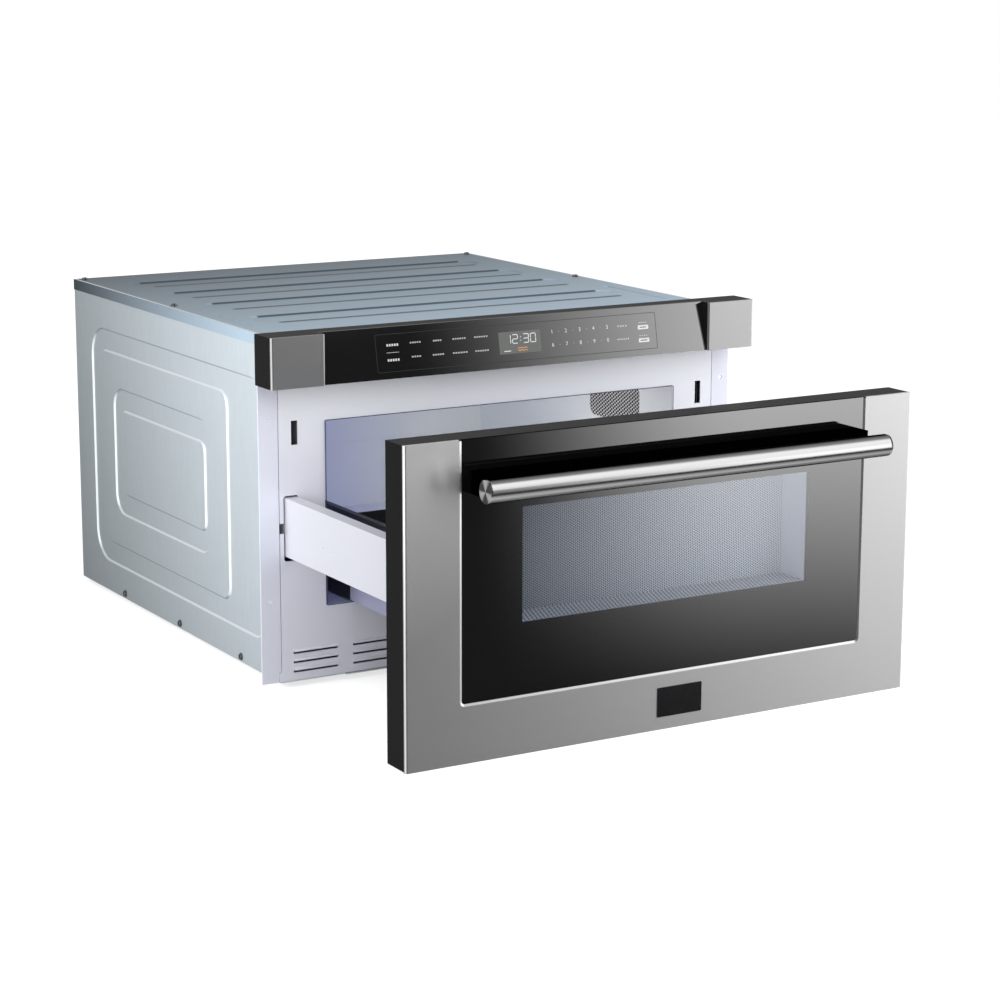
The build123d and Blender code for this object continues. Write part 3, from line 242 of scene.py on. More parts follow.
# ---------------------------------------------------------------- finishes
@dataclass(frozen=True)
class Finish:
    """What every finish has: a name, a colour and how rough it is."""

    name: str
    color: Rgb
    roughness: float = 0.5

    def build(self) -> bpy.types.Material:
        """Makes the material.

        Returns:
            The new material.
        """
        made = bpy.data.materials.new(self.name)
        made.use_nodes = True
        made.diffuse_color = (*self.color, 1.0)
        graph = NodeGraph(made.node_tree)
        graph.finish(self.shade(graph))
        return made

    def shade(self, graph: NodeGraph) -> Socket:
        """The surface shader; each kind of finish has its own."""
        raise NotImplementedError

    def tinted(self, graph: NodeGraph, value: Socket, spread: float) -> Socket:
        """The colour, a little darker and lighter by a value from 0 to 1.

        Args:
            graph: The tree that the nodes go into.
            value: A value from 0 to 1.
            spread: How far the colour goes to each side.

        Returns:
            The colour.
        """
        dark = tuple(c * (1.0 - spread) for c in self.color)
        light = tuple(min(1.0, c * (1.0 + spread)) for c in self.color)
        return graph.blend(value, dark, light)


@dataclass(frozen=True)
class Fade:
    """A painted fade of light and shade: how a sheet goes from dull to bright along one direction, in metres.
    """

    along: Rgb
    dull_at: float
    bright_at: float
    dull: float
    bright: float = 1.0

    def factor(self, graph: NodeGraph) -> Socket:
        """The share of the full colour at a point, which paints the light and shade."""
        way = graph.dot(graph.place(), self.along)
        return graph.line(way, self.dull_at, self.bright_at, self.dull, self.bright)


@dataclass(frozen=True)
class Beads:
    """Long beads across a top sheet: their near and far edges and how far across they reach, in metres;
    painted shade lines run along the edges.
    """

    near: tuple[float, ...]
    far: tuple[float, ...]
    reach: float
    near_width: float = 0.013
    far_width: float = 0.005

    def lines(self, graph: NodeGraph) -> Socket:
        """1 on the painted shade lines at the creases of the beads and 0 elsewhere.

        Args:
            graph: The tree that the nodes go into.

        Returns:
            The level at a point.
        """
        x, y, _ = graph.parts(graph.place())
        level: Socket | float = 0.0
        for edges, width in ((self.near, self.near_width), (self.far, self.far_width)):
            for edge in edges:
                middle = edge - 0.2 * width
                off = graph.math("ABSOLUTE", graph.math("SUBTRACT", y, middle))
                line = graph.ramp(off, width * 0.3, width * 0.7, 1.0, 0.0)
                level = graph.math("MAXIMUM", level, line)
        within = graph.ramp(graph.math("ABSOLUTE", x), self.reach - 2 * MM, self.reach + 2 * MM, 1.0, 0.0)
        return graph.math("MULTIPLY", level, within)


@dataclass(frozen=True)
class GalvanisedSheet(Finish):
    """Zinc-coated sheet with faint, soft clouds and fine grain; painted highlights and painted shade go on
    its bends, creases and rings, with a painted fade of light along it.
    """

    metallic: float = 0.3
    clouds: Rgb = (190.0, 190.0, 34.0)
    grain_scale: float = 900.0
    spread: float = 0.06
    # Painted light and shade: a fade along the sheet, shade lines along the beads, a fade on the folded edge,
    # a highlight at the fold (hem is where the fold lies), shade on faces inside the casing, and highlights
    # and shade on the rings' slopes.
    light_fade: Fade | None = None
    beads: Beads | None = None
    pressed: float = 0.0
    flank: Fade | None = None
    hem: float | None = None
    shade_inside: bool = False
    hem_highlight: Rgb = (0.9, 0.93, 0.95)
    ring_highlight: Rgb = (0.95, 0.97, 0.98)
    ring_shade: Rgb = (0.12, 0.16, 0.19)
    bead_shade: Rgb = (0.04, 0.07, 0.1)

    def shade(self, graph: NodeGraph) -> Socket:
        """Clouds tint the colour and the grain varies the gloss; painted light and shade go on top.

        Args:
            graph: The tree that the nodes go into.

        Returns:
            The surface shader.
        """
        plain = self.tinted(graph, graph.noise(self.clouds, 4.0, 0.6), self.spread)
        color = plain
        # Painted light and shade along the sheet.
        if self.light_fade is not None:
            color = graph.scaled(plain, self.light_fade.factor(graph))
        # Painted shade on faces inside the casing.
        if self.shade_inside:
            color = self.shaded_inside(graph, color)
        # Painted light and shade on the folded edge.
        if self.flank is not None:
            color = self.lip_shaded(graph, color, plain)
        # Painted highlight along the fold.
        if self.hem is not None:
            color = self.hem_highlighted(graph, color)
        # Painted highlights and shade on the rings' slopes.
        if self.pressed:
            color = self.ring_light_and_shade(graph, color)
        # Painted shade lines along the beads' edges.
        if self.beads is not None:
            crease = graph.math("MULTIPLY", self.beads.lines(graph), 0.88)
            color = graph.blend(crease, color, self.bead_shade)
        grain = graph.noise((self.grain_scale,) * 3, 1.0)
        return graph.principled({
            "Base Color": color,
            "Metallic": self.metallic,
            "Roughness": graph.line(grain, 0.3, 0.7, self.roughness - 0.05, self.roughness + 0.05),
            "Normal": graph.bump(grain, 0.02 * MM, 0.4),
        })

    def shaded_inside(self, graph: NodeGraph, color: Socket) -> Socket:
        """Paints shade on the faces of a side sheet that look into the casing, where they lie in its shadow.

        Args:
            graph: The tree that the nodes go into.
            color: The colour so far.

        Returns:
            The colour with this on top.
        """
        across, _, _ = graph.parts(graph.place())
        out, _, _ = graph.facing()
        outward = graph.math("MULTIPLY", out, across)
        return graph.scaled(color, graph.ramp(outward, -0.15, -0.05, 0.1, 1.0))

    def lip_shaded(self, graph: NodeGraph, color: Socket, plain: Socket) -> Socket:
        """Gives the folded-down edge of a cover its own painted fade of light and shade.

        Args:
            graph: The tree that the nodes go into.
            color: The colour so far.
            plain: The sheet's colour without any fade.

        Returns:
            The colour with this on top.
        """
        out, _, _ = graph.facing()
        turned = graph.ramp(graph.math("ABSOLUTE", out), 0.6, 0.8, 0.0, 1.0)
        return graph.blend(turned, color, graph.scaled(plain, self.flank.factor(graph)))

    def hem_highlighted(self, graph: NodeGraph, color: Socket) -> Socket:
        """Paints a thin highlight along the fold of a cover.

        Args:
            graph: The tree that the nodes go into.
            color: The colour so far.

        Returns:
            The colour with this on top.
        """
        across, _, _ = graph.parts(graph.place())
        _, _, up = graph.facing()
        near = graph.ramp(graph.math("ABSOLUTE", across), self.hem - 4.5 * MM, self.hem - 2.5 * MM)
        share = graph.math("MULTIPLY", near, graph.ramp(up, 0.2, 0.5, 0.0, 0.85))
        return graph.blend(share, color, self.hem_highlight)

    def ring_light_and_shade(self, graph: NodeGraph, color: Socket) -> Socket:
        """Paints highlights on the slopes of pressed rings that face forward or up, and shade on those that
        face down.

        Args:
            graph: The tree that the nodes go into.
            color: The colour so far.

        Returns:
            The colour with this on top.
        """
        _, ahead, up = graph.facing()
        forward = graph.ramp(ahead, -0.3, -0.6, 0.0, 1.0)
        upward = graph.ramp(up, 0.3, 0.6, 0.0, 0.6)
        downward = graph.ramp(up, -0.3, -0.6, 0.0, 1.0)
        light = graph.math("MULTIPLY", graph.math("MAXIMUM", forward, upward), self.pressed)
        dark = graph.math("MULTIPLY", downward, 0.6 * self.pressed)
        return graph.blend(dark, graph.blend(light, color, self.ring_highlight), self.ring_shade)


@dataclass(frozen=True)
class BrushedMetal(Finish):
    """Stainless steel with fine brush lines along one axis, and painted fades of light and shade."""

    along: Axis = Axis.X
    metallic: float = 1.0
    line_scale: float = 2600.0
    line_length: float = 0.3
    spread: float = 0.02
    anisotropy: float = 0.35
    rim: float = 1.0
    light_fades: tuple[Fade, ...] = ()

    def lines(self, graph: NodeGraph) -> Socket:
        """The brush lines as noise that is long along one axis.

        Args:
            graph: The tree that the nodes go into.

        Returns:
            The noise.
        """
        scale = [self.line_scale] * 3
        scale[self.along.value] = 1.0 / self.line_length
        return graph.noise((scale[0], scale[1], scale[2]), 2.0, 0.6)

    def shade(self, graph: NodeGraph) -> Socket:
        """Lines tint the colour, vary the gloss and bump the surface a little; painted fades of light and
        shade scale the colour.

        Args:
            graph: The tree that the nodes go into.

        Returns:
            The surface shader.
        """
        lines = self.lines(graph)
        color = self.tinted(graph, lines, self.spread)
        # Painted light and shade by position.
        for light_fade in self.light_fades:
            color = graph.scaled(color, light_fade.factor(graph))
        return graph.principled({
            "Base Color": color,
            "Metallic": self.metallic,
            "Specular Tint": (self.rim, self.rim, self.rim, 1.0),
            "Roughness": graph.line(lines, 0.3, 0.7, self.roughness - 0.02, self.roughness + 0.03),
            "Anisotropic": self.anisotropy,
            "Anisotropic Rotation": 0.25,
            "Normal": graph.bump(lines, 0.01 * MM, 0.2),
        })


@dataclass(frozen=True)
class TurnedMetal(Finish):
    """Steel turned about an axis along X, with rings on its ends."""

    ring_scale: float = 1400.0
    axis_y: float = 0.0
    axis_z: float = 0.0
    # The dark sectors are painted shade between the painted highlights.
    dark: Rgb = (0.03, 0.03, 0.03)
    highlight_lobes: float = 3.0

    def shade(self, graph: NodeGraph) -> Socket:
        """Rings about the axis bump the face, and light and dark sectors, painted highlights and painted
        shade, stand in for the flare of a turned face.

        Args:
            graph: The tree that the nodes go into.

        Returns:
            The surface shader.
        """
        _, y, z = graph.parts(graph.place())
        dy = graph.math("SUBTRACT", y, self.axis_y)
        dz = graph.math("SUBTRACT", z, self.axis_z)
        squares = graph.math("ADD", graph.math("MULTIPLY", dy, dy), graph.math("MULTIPLY", dz, dz))
        radius = graph.math("SQRT", squares)
        rings = graph.math("SINE", graph.math("MULTIPLY", radius, self.ring_scale * 2.0 * math.pi))
        # Painted highlights in sectors round the axis, with painted shade between them.
        sweep = graph.math("SINE", graph.math("MULTIPLY", graph.math("ARCTAN2", dz, dy), self.highlight_lobes))
        sectors = graph.ramp(sweep, 0.5, -0.9, 0.0, 0.9)
        shade = graph.math("ADD", sectors, graph.line(rings, -1.0, 1.0, 0.0, 0.1))
        return graph.principled({
            "Base Color": graph.blend(shade, self.dark, self.color),
            "Metallic": 1.0,
            "Roughness": self.roughness,
            "Normal": graph.bump(rings, 0.01 * MM, 0.3),
        })


@dataclass(frozen=True)
class Paint(Finish):
    """Powder coat or enamel with a faint orange peel."""

    peel: float = 0.03 * MM
    peel_scale: float = 420.0
    coat: float = 0.0
    # A painted fade of light towards a paler colour, and the paler colour that it reaches.
    turn: Fade | None = None
    turned: Rgb = (1.0, 1.0, 1.0)

    def shade(self, graph: NodeGraph) -> Socket:
        """Peel bumps the surface and varies its gloss; a painted fade of light may lift the colour towards a
        paler one along the wall.

        Args:
            graph: The tree that the nodes go into.

        Returns:
            The surface shader.
        """
        peel = graph.noise((self.peel_scale,) * 3, 2.0)
        color = self.tinted(graph, peel, 0.015)
        # Painted light by position.
        if self.turn is not None:
            color = graph.blend(self.turn.factor(graph), color, self.turned)
        return graph.principled({
            "Base Color": color,
            "Roughness": graph.line(peel, 0.3, 0.7, self.roughness - 0.04, self.roughness + 0.04),
            "Coat Weight": self.coat,
            "Normal": graph.bump(peel, self.peel, 0.5),
        })


@dataclass(frozen=True)
class Moulded(Finish):
    """Injection-moulded plastic or rubber with a fine spark-eroded grain."""

    grain_scale: float = 1500.0
    specular: float = 0.5

    def shade(self, graph: NodeGraph) -> Socket:
        """Grain bumps the surface and varies its gloss.

        Args:
            graph: The tree that the nodes go into.

        Returns:
            The surface shader.
        """
        grain = graph.noise((self.grain_scale,) * 3, 2.0)
        return graph.principled({
            "Base Color": self.tinted(graph, grain, 0.05),
            "Roughness": graph.line(grain, 0.3, 0.7, self.roughness - 0.05, self.roughness + 0.08),
            "Specular IOR Level": self.specular,
            "Normal": graph.bump(grain, 0.03 * MM, 0.5),
        })


@dataclass(frozen=True)
class Region:
    """A rounded rectangle in the XZ plane, in metres."""

    x0: float
    x1: float
    z0: float
    z1: float
    corner: float

    def mask(self, graph: NodeGraph, place: Socket, soft: float) -> Socket:
        """1 inside the region and 0 outside, with an edge of a given softness.

        Args:
            graph: The tree that the nodes go into.
            place: The point on the object.
            soft: Half the width of the edge, in metres.

        Returns:
            The mask at a point.
        """
        centre = ((self.x0 + self.x1) / 2.0, 0.0, (self.z0 + self.z1) / 2.0)
        half = ((self.x1 - self.x0) / 2.0 - self.corner, 0.0, (self.z1 - self.z0) / 2.0 - self.corner)
        flat = graph.vector("MULTIPLY", graph.vector("SUBTRACT", place, centre), (1.0, 0.0, 1.0))
        outside = graph.vector("SUBTRACT", graph.vector("ABSOLUTE", flat), half)
        outside = graph.vector("MAXIMUM", outside, (0.0, 0.0, 0.0))
        return graph.ramp(graph.length(outside), self.corner - soft, self.corner + soft, 1.0, 0.0)


@dataclass(frozen=True)
class BlackGlass(Finish):
    """Black glass, printed on its back, with a coated face that mirrors more than plain glass."""

    ior: float = 2.8
    window: Region | None = None
    clear_tint: Rgb = (0.9, 0.92, 0.95)

    def shade(self, graph: NodeGraph) -> Socket:
        """Black all over, matt on edges that face up, and clear where the print leaves a window.

        Args:
            graph: The tree that the nodes go into.

        Returns:
            The surface shader.
        """
        waves = graph.noise((6.0, 6.0, 6.0), 1.0)
        black = graph.principled({
            "Base Color": self.tinted(graph, waves, 0.2),
            "Roughness": self.roughness,
            "IOR": self.ior,
        })
        if self.window is None:
            return black
        _, _, up = graph.facing()
        matt = graph.node("ShaderNodeBsdfDiffuse", {"Color": (*self.color, 1.0)}).outputs[0]
        black = graph.mixed(graph.ramp(up, 0.1, 0.2), black, matt)
        white = (1.0, 1.0, 1.0, 1.0)
        gloss = graph.node("ShaderNodeBsdfGlossy", {"Color": white, "Roughness": self.roughness}).outputs[0]
        pane = graph.mixed(mirror_share(graph, self.ior), graph.clear(self.clear_tint), gloss)
        mask = self.window.mask(graph, graph.place(), 0.3 * MM)
        return graph.mixed(graph.math("MAXIMUM", mask, graph.inside()), black, pane)


@dataclass(frozen=True)
class ClearGlass(Finish):
    """Clear glass or a clear cover, thin enough not to bend what is behind it."""

    ior: float = 1.5

    def shade(self, graph: NodeGraph) -> Socket:
        """A tinted view through it with a mirror of the room on top.

        Args:
            graph: The tree that the nodes go into.

        Returns:
            The surface shader.
        """
        dust = graph.noise((300.0, 300.0, 300.0), 2.0)
        rough = graph.line(dust, 0.3, 0.7, self.roughness, self.roughness + 0.03)
        gloss = graph.node("ShaderNodeBsdfGlossy", {"Roughness": rough}).outputs[0]
        return graph.mixed(mirror_share(graph, self.ior), graph.clear(self.color), gloss)


@dataclass(frozen=True)
class Holes:
    """Holes in staggered rows: the face's two directions, the cell, the radius, the edge and the stretch."""

    axes: tuple[Axis, Axis]
    cell: tuple[float, float]
    radius: float
    soft: float = 0.2 * MM
    stretch: float = 1.0

    def mask(self, graph: NodeGraph) -> Socket:
        """1 in a hole and 0 on the sheet.

        Args:
            graph: The tree that the nodes go into.

        Returns:
            The mask at a point.
        """
        cell = [0.0, 0.0, 0.0]
        for axis, size in zip(self.axes, self.cell):
            cell[axis.value] = size
        half = tuple(0.5 if size else 0.0 for size in cell)
        round_cell = list(cell)
        round_cell[self.axes[1].value] /= self.stretch
        per_cell = tuple(1.0 / size if size else 0.0 for size in cell)
        steps = graph.vector("MULTIPLY", graph.place(), per_cell)
        nearest = []
        for shift in ((0.0, 0.0, 0.0), half):
            part = graph.vector("FRACTION", graph.vector("ADD", steps, shift))
            off = graph.vector("MULTIPLY", graph.vector("SUBTRACT", part, half), round_cell)
            nearest.append(graph.length(off))
        distance = graph.math("MINIMUM", nearest[0], nearest[1])
        return graph.ramp(distance, self.radius - self.soft, self.radius + self.soft, 1.0, 0.0)


@dataclass(frozen=True)
class Perforated(Finish):
    """Painted sheet with round holes; plain where its face doesn't point the way of the holes."""

    holes: Holes = Holes((Axis.X, Axis.Z), (0.0045, 0.0026), 0.0008)
    hole_color: Rgb = (0.02, 0.02, 0.025)
    facing: Axis | None = None
    light_fade: Fade | None = None

    def shade(self, graph: NodeGraph) -> Socket:
        """Holes darken the sheet and dull it; a painted fade of light and shade may scale the sheet.

        Args:
            graph: The tree that the nodes go into.

        Returns:
            The surface shader.
        """
        holes = self.holes.mask(graph)
        sheet: Socket | Rgb = self.color
        # Painted light and shade by position.
        if self.light_fade is not None:
            sheet = graph.scaled(self.color, self.light_fade.factor(graph))
        if self.facing is not None:
            turned = graph.facing()[self.facing.value]
            holes = graph.math("MULTIPLY", holes, graph.ramp(turned, 0.6, 0.8, 0.0, 1.0))
        return graph.principled({
            "Base Color": graph.blend(holes, sheet, self.hole_color),
            "Roughness": graph.line(holes, 0.0, 1.0, self.roughness, 0.9),
            "Specular IOR Level": 0.3,
        })


@dataclass(frozen=True)
class Print(Finish):
    """Screen print or a lit mark: flat colour with a faint grain."""

    glow: float = 0.0

    def shade(self, graph: NodeGraph) -> Socket:
        """Grain tints the ink; a lit mark glows a little, and where plain print glows it is painted light.

        Args:
            graph: The tree that the nodes go into.

        Returns:
            The surface shader.
        """
        grain = graph.noise((1200.0, 1200.0, 1200.0), 1.0)
        return graph.principled({
            "Base Color": self.tinted(graph, grain, 0.05),
            "Roughness": self.roughness,
            "Emission Color": (*self.color, 1.0),
            "Emission Strength": self.glow,
        })


@dataclass(frozen=True)
class CircuitBoard(Finish):
    """Solder mask with faint tracks."""

    def shade(self, graph: NodeGraph) -> Socket:
        """Tracks are straight bands of a lighter green.

        Args:
            graph: The tree that the nodes go into.

        Returns:
            The surface shader.
        """
        tracks = graph.noise((900.0, 900.0, 40.0), 0.0)
        return graph.principled({
            "Base Color": self.tinted(graph, graph.ramp(tracks, 0.5, 0.55), 0.35),
            "Roughness": self.roughness,
            "Coat Weight": 0.4,
        })


@dataclass(frozen=True)
class FloorPaint(Finish):
    """The studio's floor: matt, and lifted to white for the camera alone."""

    glow: float = 0.5

    def shade(self, graph: NodeGraph) -> Socket:
        """A matt face with a glow that only camera rays see.

        Args:
            graph: The tree that the nodes go into.

        Returns:
            The surface shader.
        """
        grain = graph.noise((3.0, 3.0, 3.0), 1.0)
        matt = graph.node("ShaderNodeBsdfDiffuse", {"Color": self.tinted(graph, grain, 0.005)}).outputs[0]
        seen = graph.node("ShaderNodeLightPath").outputs["Is Camera Ray"]
        strength = graph.math("MULTIPLY", seen, self.glow)
        glow = graph.node("ShaderNodeEmission", {"Strength": strength}).outputs[0]
        return graph.node("ShaderNodeAddShader", {0: matt, 1: glow}).outputs[0]


class Palette:
    """All finishes of the oven, built once, by the record's material slots."""

    def __init__(self, window: Region, bar_axis: Vector) -> None:
        """Lists the finishes.

        Args:
            window: The clear window in the drawer's glass.
            bar_axis: A point on the axis of the handle bar.
        """
        self.by_slot = self.slot_finishes(window, bar_axis)
        self.special = self.node_finishes(bar_axis)
        self.extra = self.scene_finishes()
        self.made: dict[str, bpy.types.Material] = {}

    def slot_finishes(self, window: Region, bar_axis: Vector) -> dict[str, Finish]:
        """The finishes of the record's slots.

        Args:
            window: The clear window in the drawer's glass.
            bar_axis: A point on the axis of the handle bar.

        Returns:
            A finish by the name of each slot.
        """
        # Painted light and shade by position: the side sheets darken towards the back and bottom, the window
        # mesh darkens towards the left, the cavity paint goes paler towards the right and front, and the
        # handle bar goes nearly black from just in front of its axis backwards, a painted dark reflection.
        side_shade_fade = Fade((0.0, -0.34, 0.24), -0.19, 0.08, 0.41)
        mesh_shade_fade = Fade((1.0, 0.0, 0.0), -0.17, 0.17, 0.34)
        cavity_light_turn = Fade((1.0, -0.3, 0.0), -0.29, 0.02, 0.0)
        bar_front = -bar_axis.y
        bar_shade_fade = Fade((0.0, -1.0, 0.0), bar_front + 0.002, bar_front + 0.0075, 0.06)
        return {
            # The side sheets also get painted highlights and painted shade on their rings' slopes, and
            # painted shade on faces inside the casing.
            "galvanised": GalvanisedSheet(
                "galvanised_sheet", (0.69, 0.77, 0.82), 0.4, light_fade=side_shade_fade, pressed=0.72, shade_inside=True
            ),
            "white_enamel": Paint("white_powder_coat", (0.8, 0.82, 0.92), 0.42),
            "cavity_enamel": Paint(
                "cavity_enamel", (0.47, 0.53, 0.95), 0.4, coat=0.1, turn=cavity_light_turn, turned=(0.95, 0.98, 1.0)
            ),
            "stainless": BrushedMetal(
                "brushed_stainless", (0.54, 0.54, 0.54), 0.3, metallic=0.9, anisotropy=0.6
            ),
            "handle_steel": BrushedMetal(
                "handle_stainless", (0.52, 0.52, 0.52), 0.17, spread=0.015, anisotropy=0.6, rim=0.1,
                light_fades=(bar_shade_fade,),
            ),
            "black_body": Moulded("black_body", (0.007, 0.007, 0.007), 0.4, specular=0.12),
            "black_paint": Paint("black_paint", (0.004, 0.004, 0.004), 0.35),
            "front_glass": BlackGlass("drawer_glass", (0.004, 0.004, 0.004), 0.03, window=window),
            "clear_glass": ClearGlass("clear_glass", (0.8, 0.85, 0.88), 0.02),
            "dish_glass": BlackGlass("dish_glass", (0.012, 0.012, 0.014), 0.08, ior=1.55),
            "tray_black": Moulded("tray_black", (0.012, 0.012, 0.014), 0.4),
            "screen_steel": Perforated("window_mesh", (0.84, 0.88, 0.94), 0.5, light_fade=mesh_shade_fade),
            "screw_steel": GalvanisedSheet(
                "zinc_screws", (0.15, 0.16, 0.17), 0.22, metallic=0.95, clouds=(400.0, 400.0, 400.0)
            ),
            "nylon": Moulded("nylon", (0.72, 0.72, 0.7), 0.45),
            "aluminium": GalvanisedSheet("aluminium", (0.72, 0.73, 0.74), 0.38, clouds=(60.0, 60.0, 60.0)),
            "core_steel": Paint("lacquered_core", (0.1, 0.1, 0.11), 0.4),
            "board_green": CircuitBoard("board_green", (0.03, 0.16, 0.08), 0.4),
            "grey_plastic": Moulded("grey_plastic", (0.18, 0.19, 0.2), 0.5),
            "rubber": Moulded("rubber", (0.02, 0.02, 0.02), 0.75),
        }

    def node_finishes(self, bar_axis: Vector) -> dict[str, Finish]:
        """The finishes of nodes that differ from the rest of their slot.

        Args:
            bar_axis: A point on the axis of the handle bar.

        Returns:
            A finish by the name of each of these nodes.
        """
        # Painted light and shade by position: the top cover darkens towards the back and left, and its folded
        # edge towards the back. The steel frame gets a painted highlight towards its upper left and lightens
        # towards the right. The face plate goes paler towards the top, which lifts the shade under the
        # control strip.
        top_shade_fade = Fade((0.15, -0.7, 0.0), -0.44, 0.0, 0.22)
        lip_shade_fade = Fade((0.0, -1.0, 0.0), -0.566, 0.0, 0.06, 1.08)
        corner_highlight_fade = Fade((-0.5, 0.0, 0.8), 0.24, 0.38, 0.97, 1.6)
        frame_light_fade = Fade((1.0, 0.0, 0.2), -0.27, 0.27, 0.94, 1.09)
        plate_light_turn = Fade((0.0, 0.0, 1.0), 0.24, 0.33, 0.0)
        beads = Beads((0.112, 0.230, 0.341, 0.453), (0.164, 0.2845, 0.391, 0.494), 0.221)
        vent_holes = Holes((Axis.Y, Axis.Z), (0.0068, 0.0045), 0.00178, 0.00005)
        tunnel_holes = Holes((Axis.X, Axis.Y), (0.0045, 0.0125), 0.0008, stretch=4.8)
        rail_paint = Paint("rail_paint", (0.62, 0.63, 0.69), 0.42)
        # The guide channels are painted near black: painted shade that keeps the rail slots dark.
        channel_shade_paint = Paint("channel_shade_paint", (0.03, 0.03, 0.035), 0.5)
        return {
            "control_glass": BlackGlass("control_glass", (0.006, 0.006, 0.006), 0.03),
            "cavity_vent_screen": Perforated(
                "vent_mesh", (0.97, 0.97, 1.0), 0.5, vent_holes, hole_color=(0.0, 0.0, 0.0)
            ),
            "choke_panel": Perforated("tunnel_paint", (0.76, 0.78, 0.84), 0.5, tunnel_holes, facing=Axis.Z),
            "side_rail_left": rail_paint,
            "side_rail_right": rail_paint,
            "front_frame": BrushedMetal(
                "frame_stainless", (0.66, 0.66, 0.66), 0.3, metallic=0.9, anisotropy=0.6,
                light_fades=(corner_highlight_fade, frame_light_fade),
            ),
            "handle_caps": TurnedMetal(
                "turned_ends", (0.6, 0.6, 0.6), 0.22, axis_y=bar_axis.y, axis_z=bar_axis.z
            ),
            "face_plate": Paint(
                "plate_coat", (0.81, 0.82, 0.91), 0.42, turn=plate_light_turn, turned=(0.93, 0.95, 1.0)
            ),
            "guide_channel_left": channel_shade_paint,
            "guide_channel_right": channel_shade_paint,
            "tray_brackets": Paint("bracket_paint", (0.26, 0.27, 0.38), 0.5),
            # The top cover also gets painted shade lines along its beads and a painted highlight along its
            # fold.
            "top_cover": GalvanisedSheet(
                "galvanised_top", (0.56, 0.71, 0.84), 0.4, light_fade=top_shade_fade, beads=beads, flank=lip_shade_fade,
                hem=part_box("top_cover")[1].x, clouds=(40.0, 190.0, 190.0),
            ),
            "handle_support": Moulded("support_black", (0.0005, 0.0005, 0.0005), 0.7, specular=0.0),
        }

    def scene_finishes(self) -> dict[str, Finish]:
        """The finishes of pieces that only the scene has.

        Returns:
            A finish by its name.
        """
        return {
            # The key and word print are plain screen print; their small glow is painted light on the ink.
            "key_print": Print("key_print", (0.62, 0.63, 0.63), 0.5, 0.15),
            "word_print": Print("word_print", (0.46, 0.47, 0.47), 0.5, 0.1),
            "display_glow": Print("display_glow", (0.6, 0.62, 0.62), 0.5, 0.35),
            "display_back": Print("display_back", (0.1, 0.105, 0.1), 0.25, 0.3),
            "wave_mark": Print("wave_mark", (0.75, 0.3, 0.1), 0.5, 0.3),
            "zone_line": Print("zone_line", (0.022, 0.022, 0.022), 0.6),
            "badge_plate": Paint("badge_plate", (0.004, 0.004, 0.005), 0.22),
            # A lighter rim and a darker middle on the rail paint: the painted highlight and painted shade of
            # the dimples.
            "dimple_rim_highlight": Paint("dimple_rim_highlight", (0.68, 0.69, 0.74), 0.42),
            "dimple_shade": Paint("dimple_shade", (0.5, 0.51, 0.56), 0.42),
            # Painted shade round the edge of the mouth.
            "mouth_shade_line": Paint("mouth_shade_line", (0.06, 0.06, 0.1), 0.5),
            # Painted shade in the screws' cross recesses.
            "recess_shade": Print("recess_shade", (0.02, 0.02, 0.02), 0.7),
        }

    def material(self, finish: Finish) -> bpy.types.Material:
        """The material of a finish, made on first use.

        Args:
            finish: The finish.

        Returns:
            Its material.
        """
        if finish.name not in self.made:
            self.made[finish.name] = finish.build()
        return self.made[finish.name]

    def for_node(self, node: str, slot: str) -> bpy.types.Material:
        """The material of a CAD node, by its own finish or its slot's."""
        return self.material(self.special.get(node, self.by_slot[slot]))

    def for_extra(self, name: str) -> bpy.types.Material:
        """The material of a piece that only the scene has."""
        return self.material(self.extra[name])


# ---------------------------------------------------------------- mesh drafting
@dataclass(frozen=True)
class Plane:
    """A flat work plane: a corner, two directions along it and one out of it, in metres."""

    origin: Vector
    across: Vector
    up: Vector

    @property
    def out(self) -> Vector:
        """The direction out of the face."""
        return self.across.cross(self.up).normalized()

    def at(self, across: float, up: float, lift: float = 0.0) -> Vector:
        """A point of the plane, given in metres along it and above it."""
        return self.origin + self.across * across + self.up * up + self.out * lift

    def matrix(self, across: float, up: float, lift: float) -> Matrix:
        """A placing for an object that is drawn in its own XY plane."""
        axes = Matrix((self.across, self.up, self.out)).transposed().to_4x4()
        return Matrix.Translation(self.at(across, up, lift)) @ axes


def rounded_outline(width: float, height: float, corner: float, steps: int = 6) -> Outline:
    """A rounded rectangle about its centre.

    Args:
        width: Whole width.
        height: Whole height.
        corner: Radius of the corners.
        steps: Points in each corner.

    Returns:
        Its points, anticlockwise and each one once.
    """
    points = []
    for quarter in range(4):
        sign_x = 1 if quarter in (0, 3) else -1
        sign_y = 1 if quarter in (0, 1) else -1
        for step in range(steps):
            angle = math.pi / 2.0 * (quarter + step / (steps - 1))
            x = sign_x * (width / 2.0 - corner) + corner * math.cos(angle)
            y = sign_y * (height / 2.0 - corner) + corner * math.sin(angle)
            points.append((x, y))
    return [point for point, after in zip(points, points[1:] + points[:1]) if math.dist(point, after) > WELD]


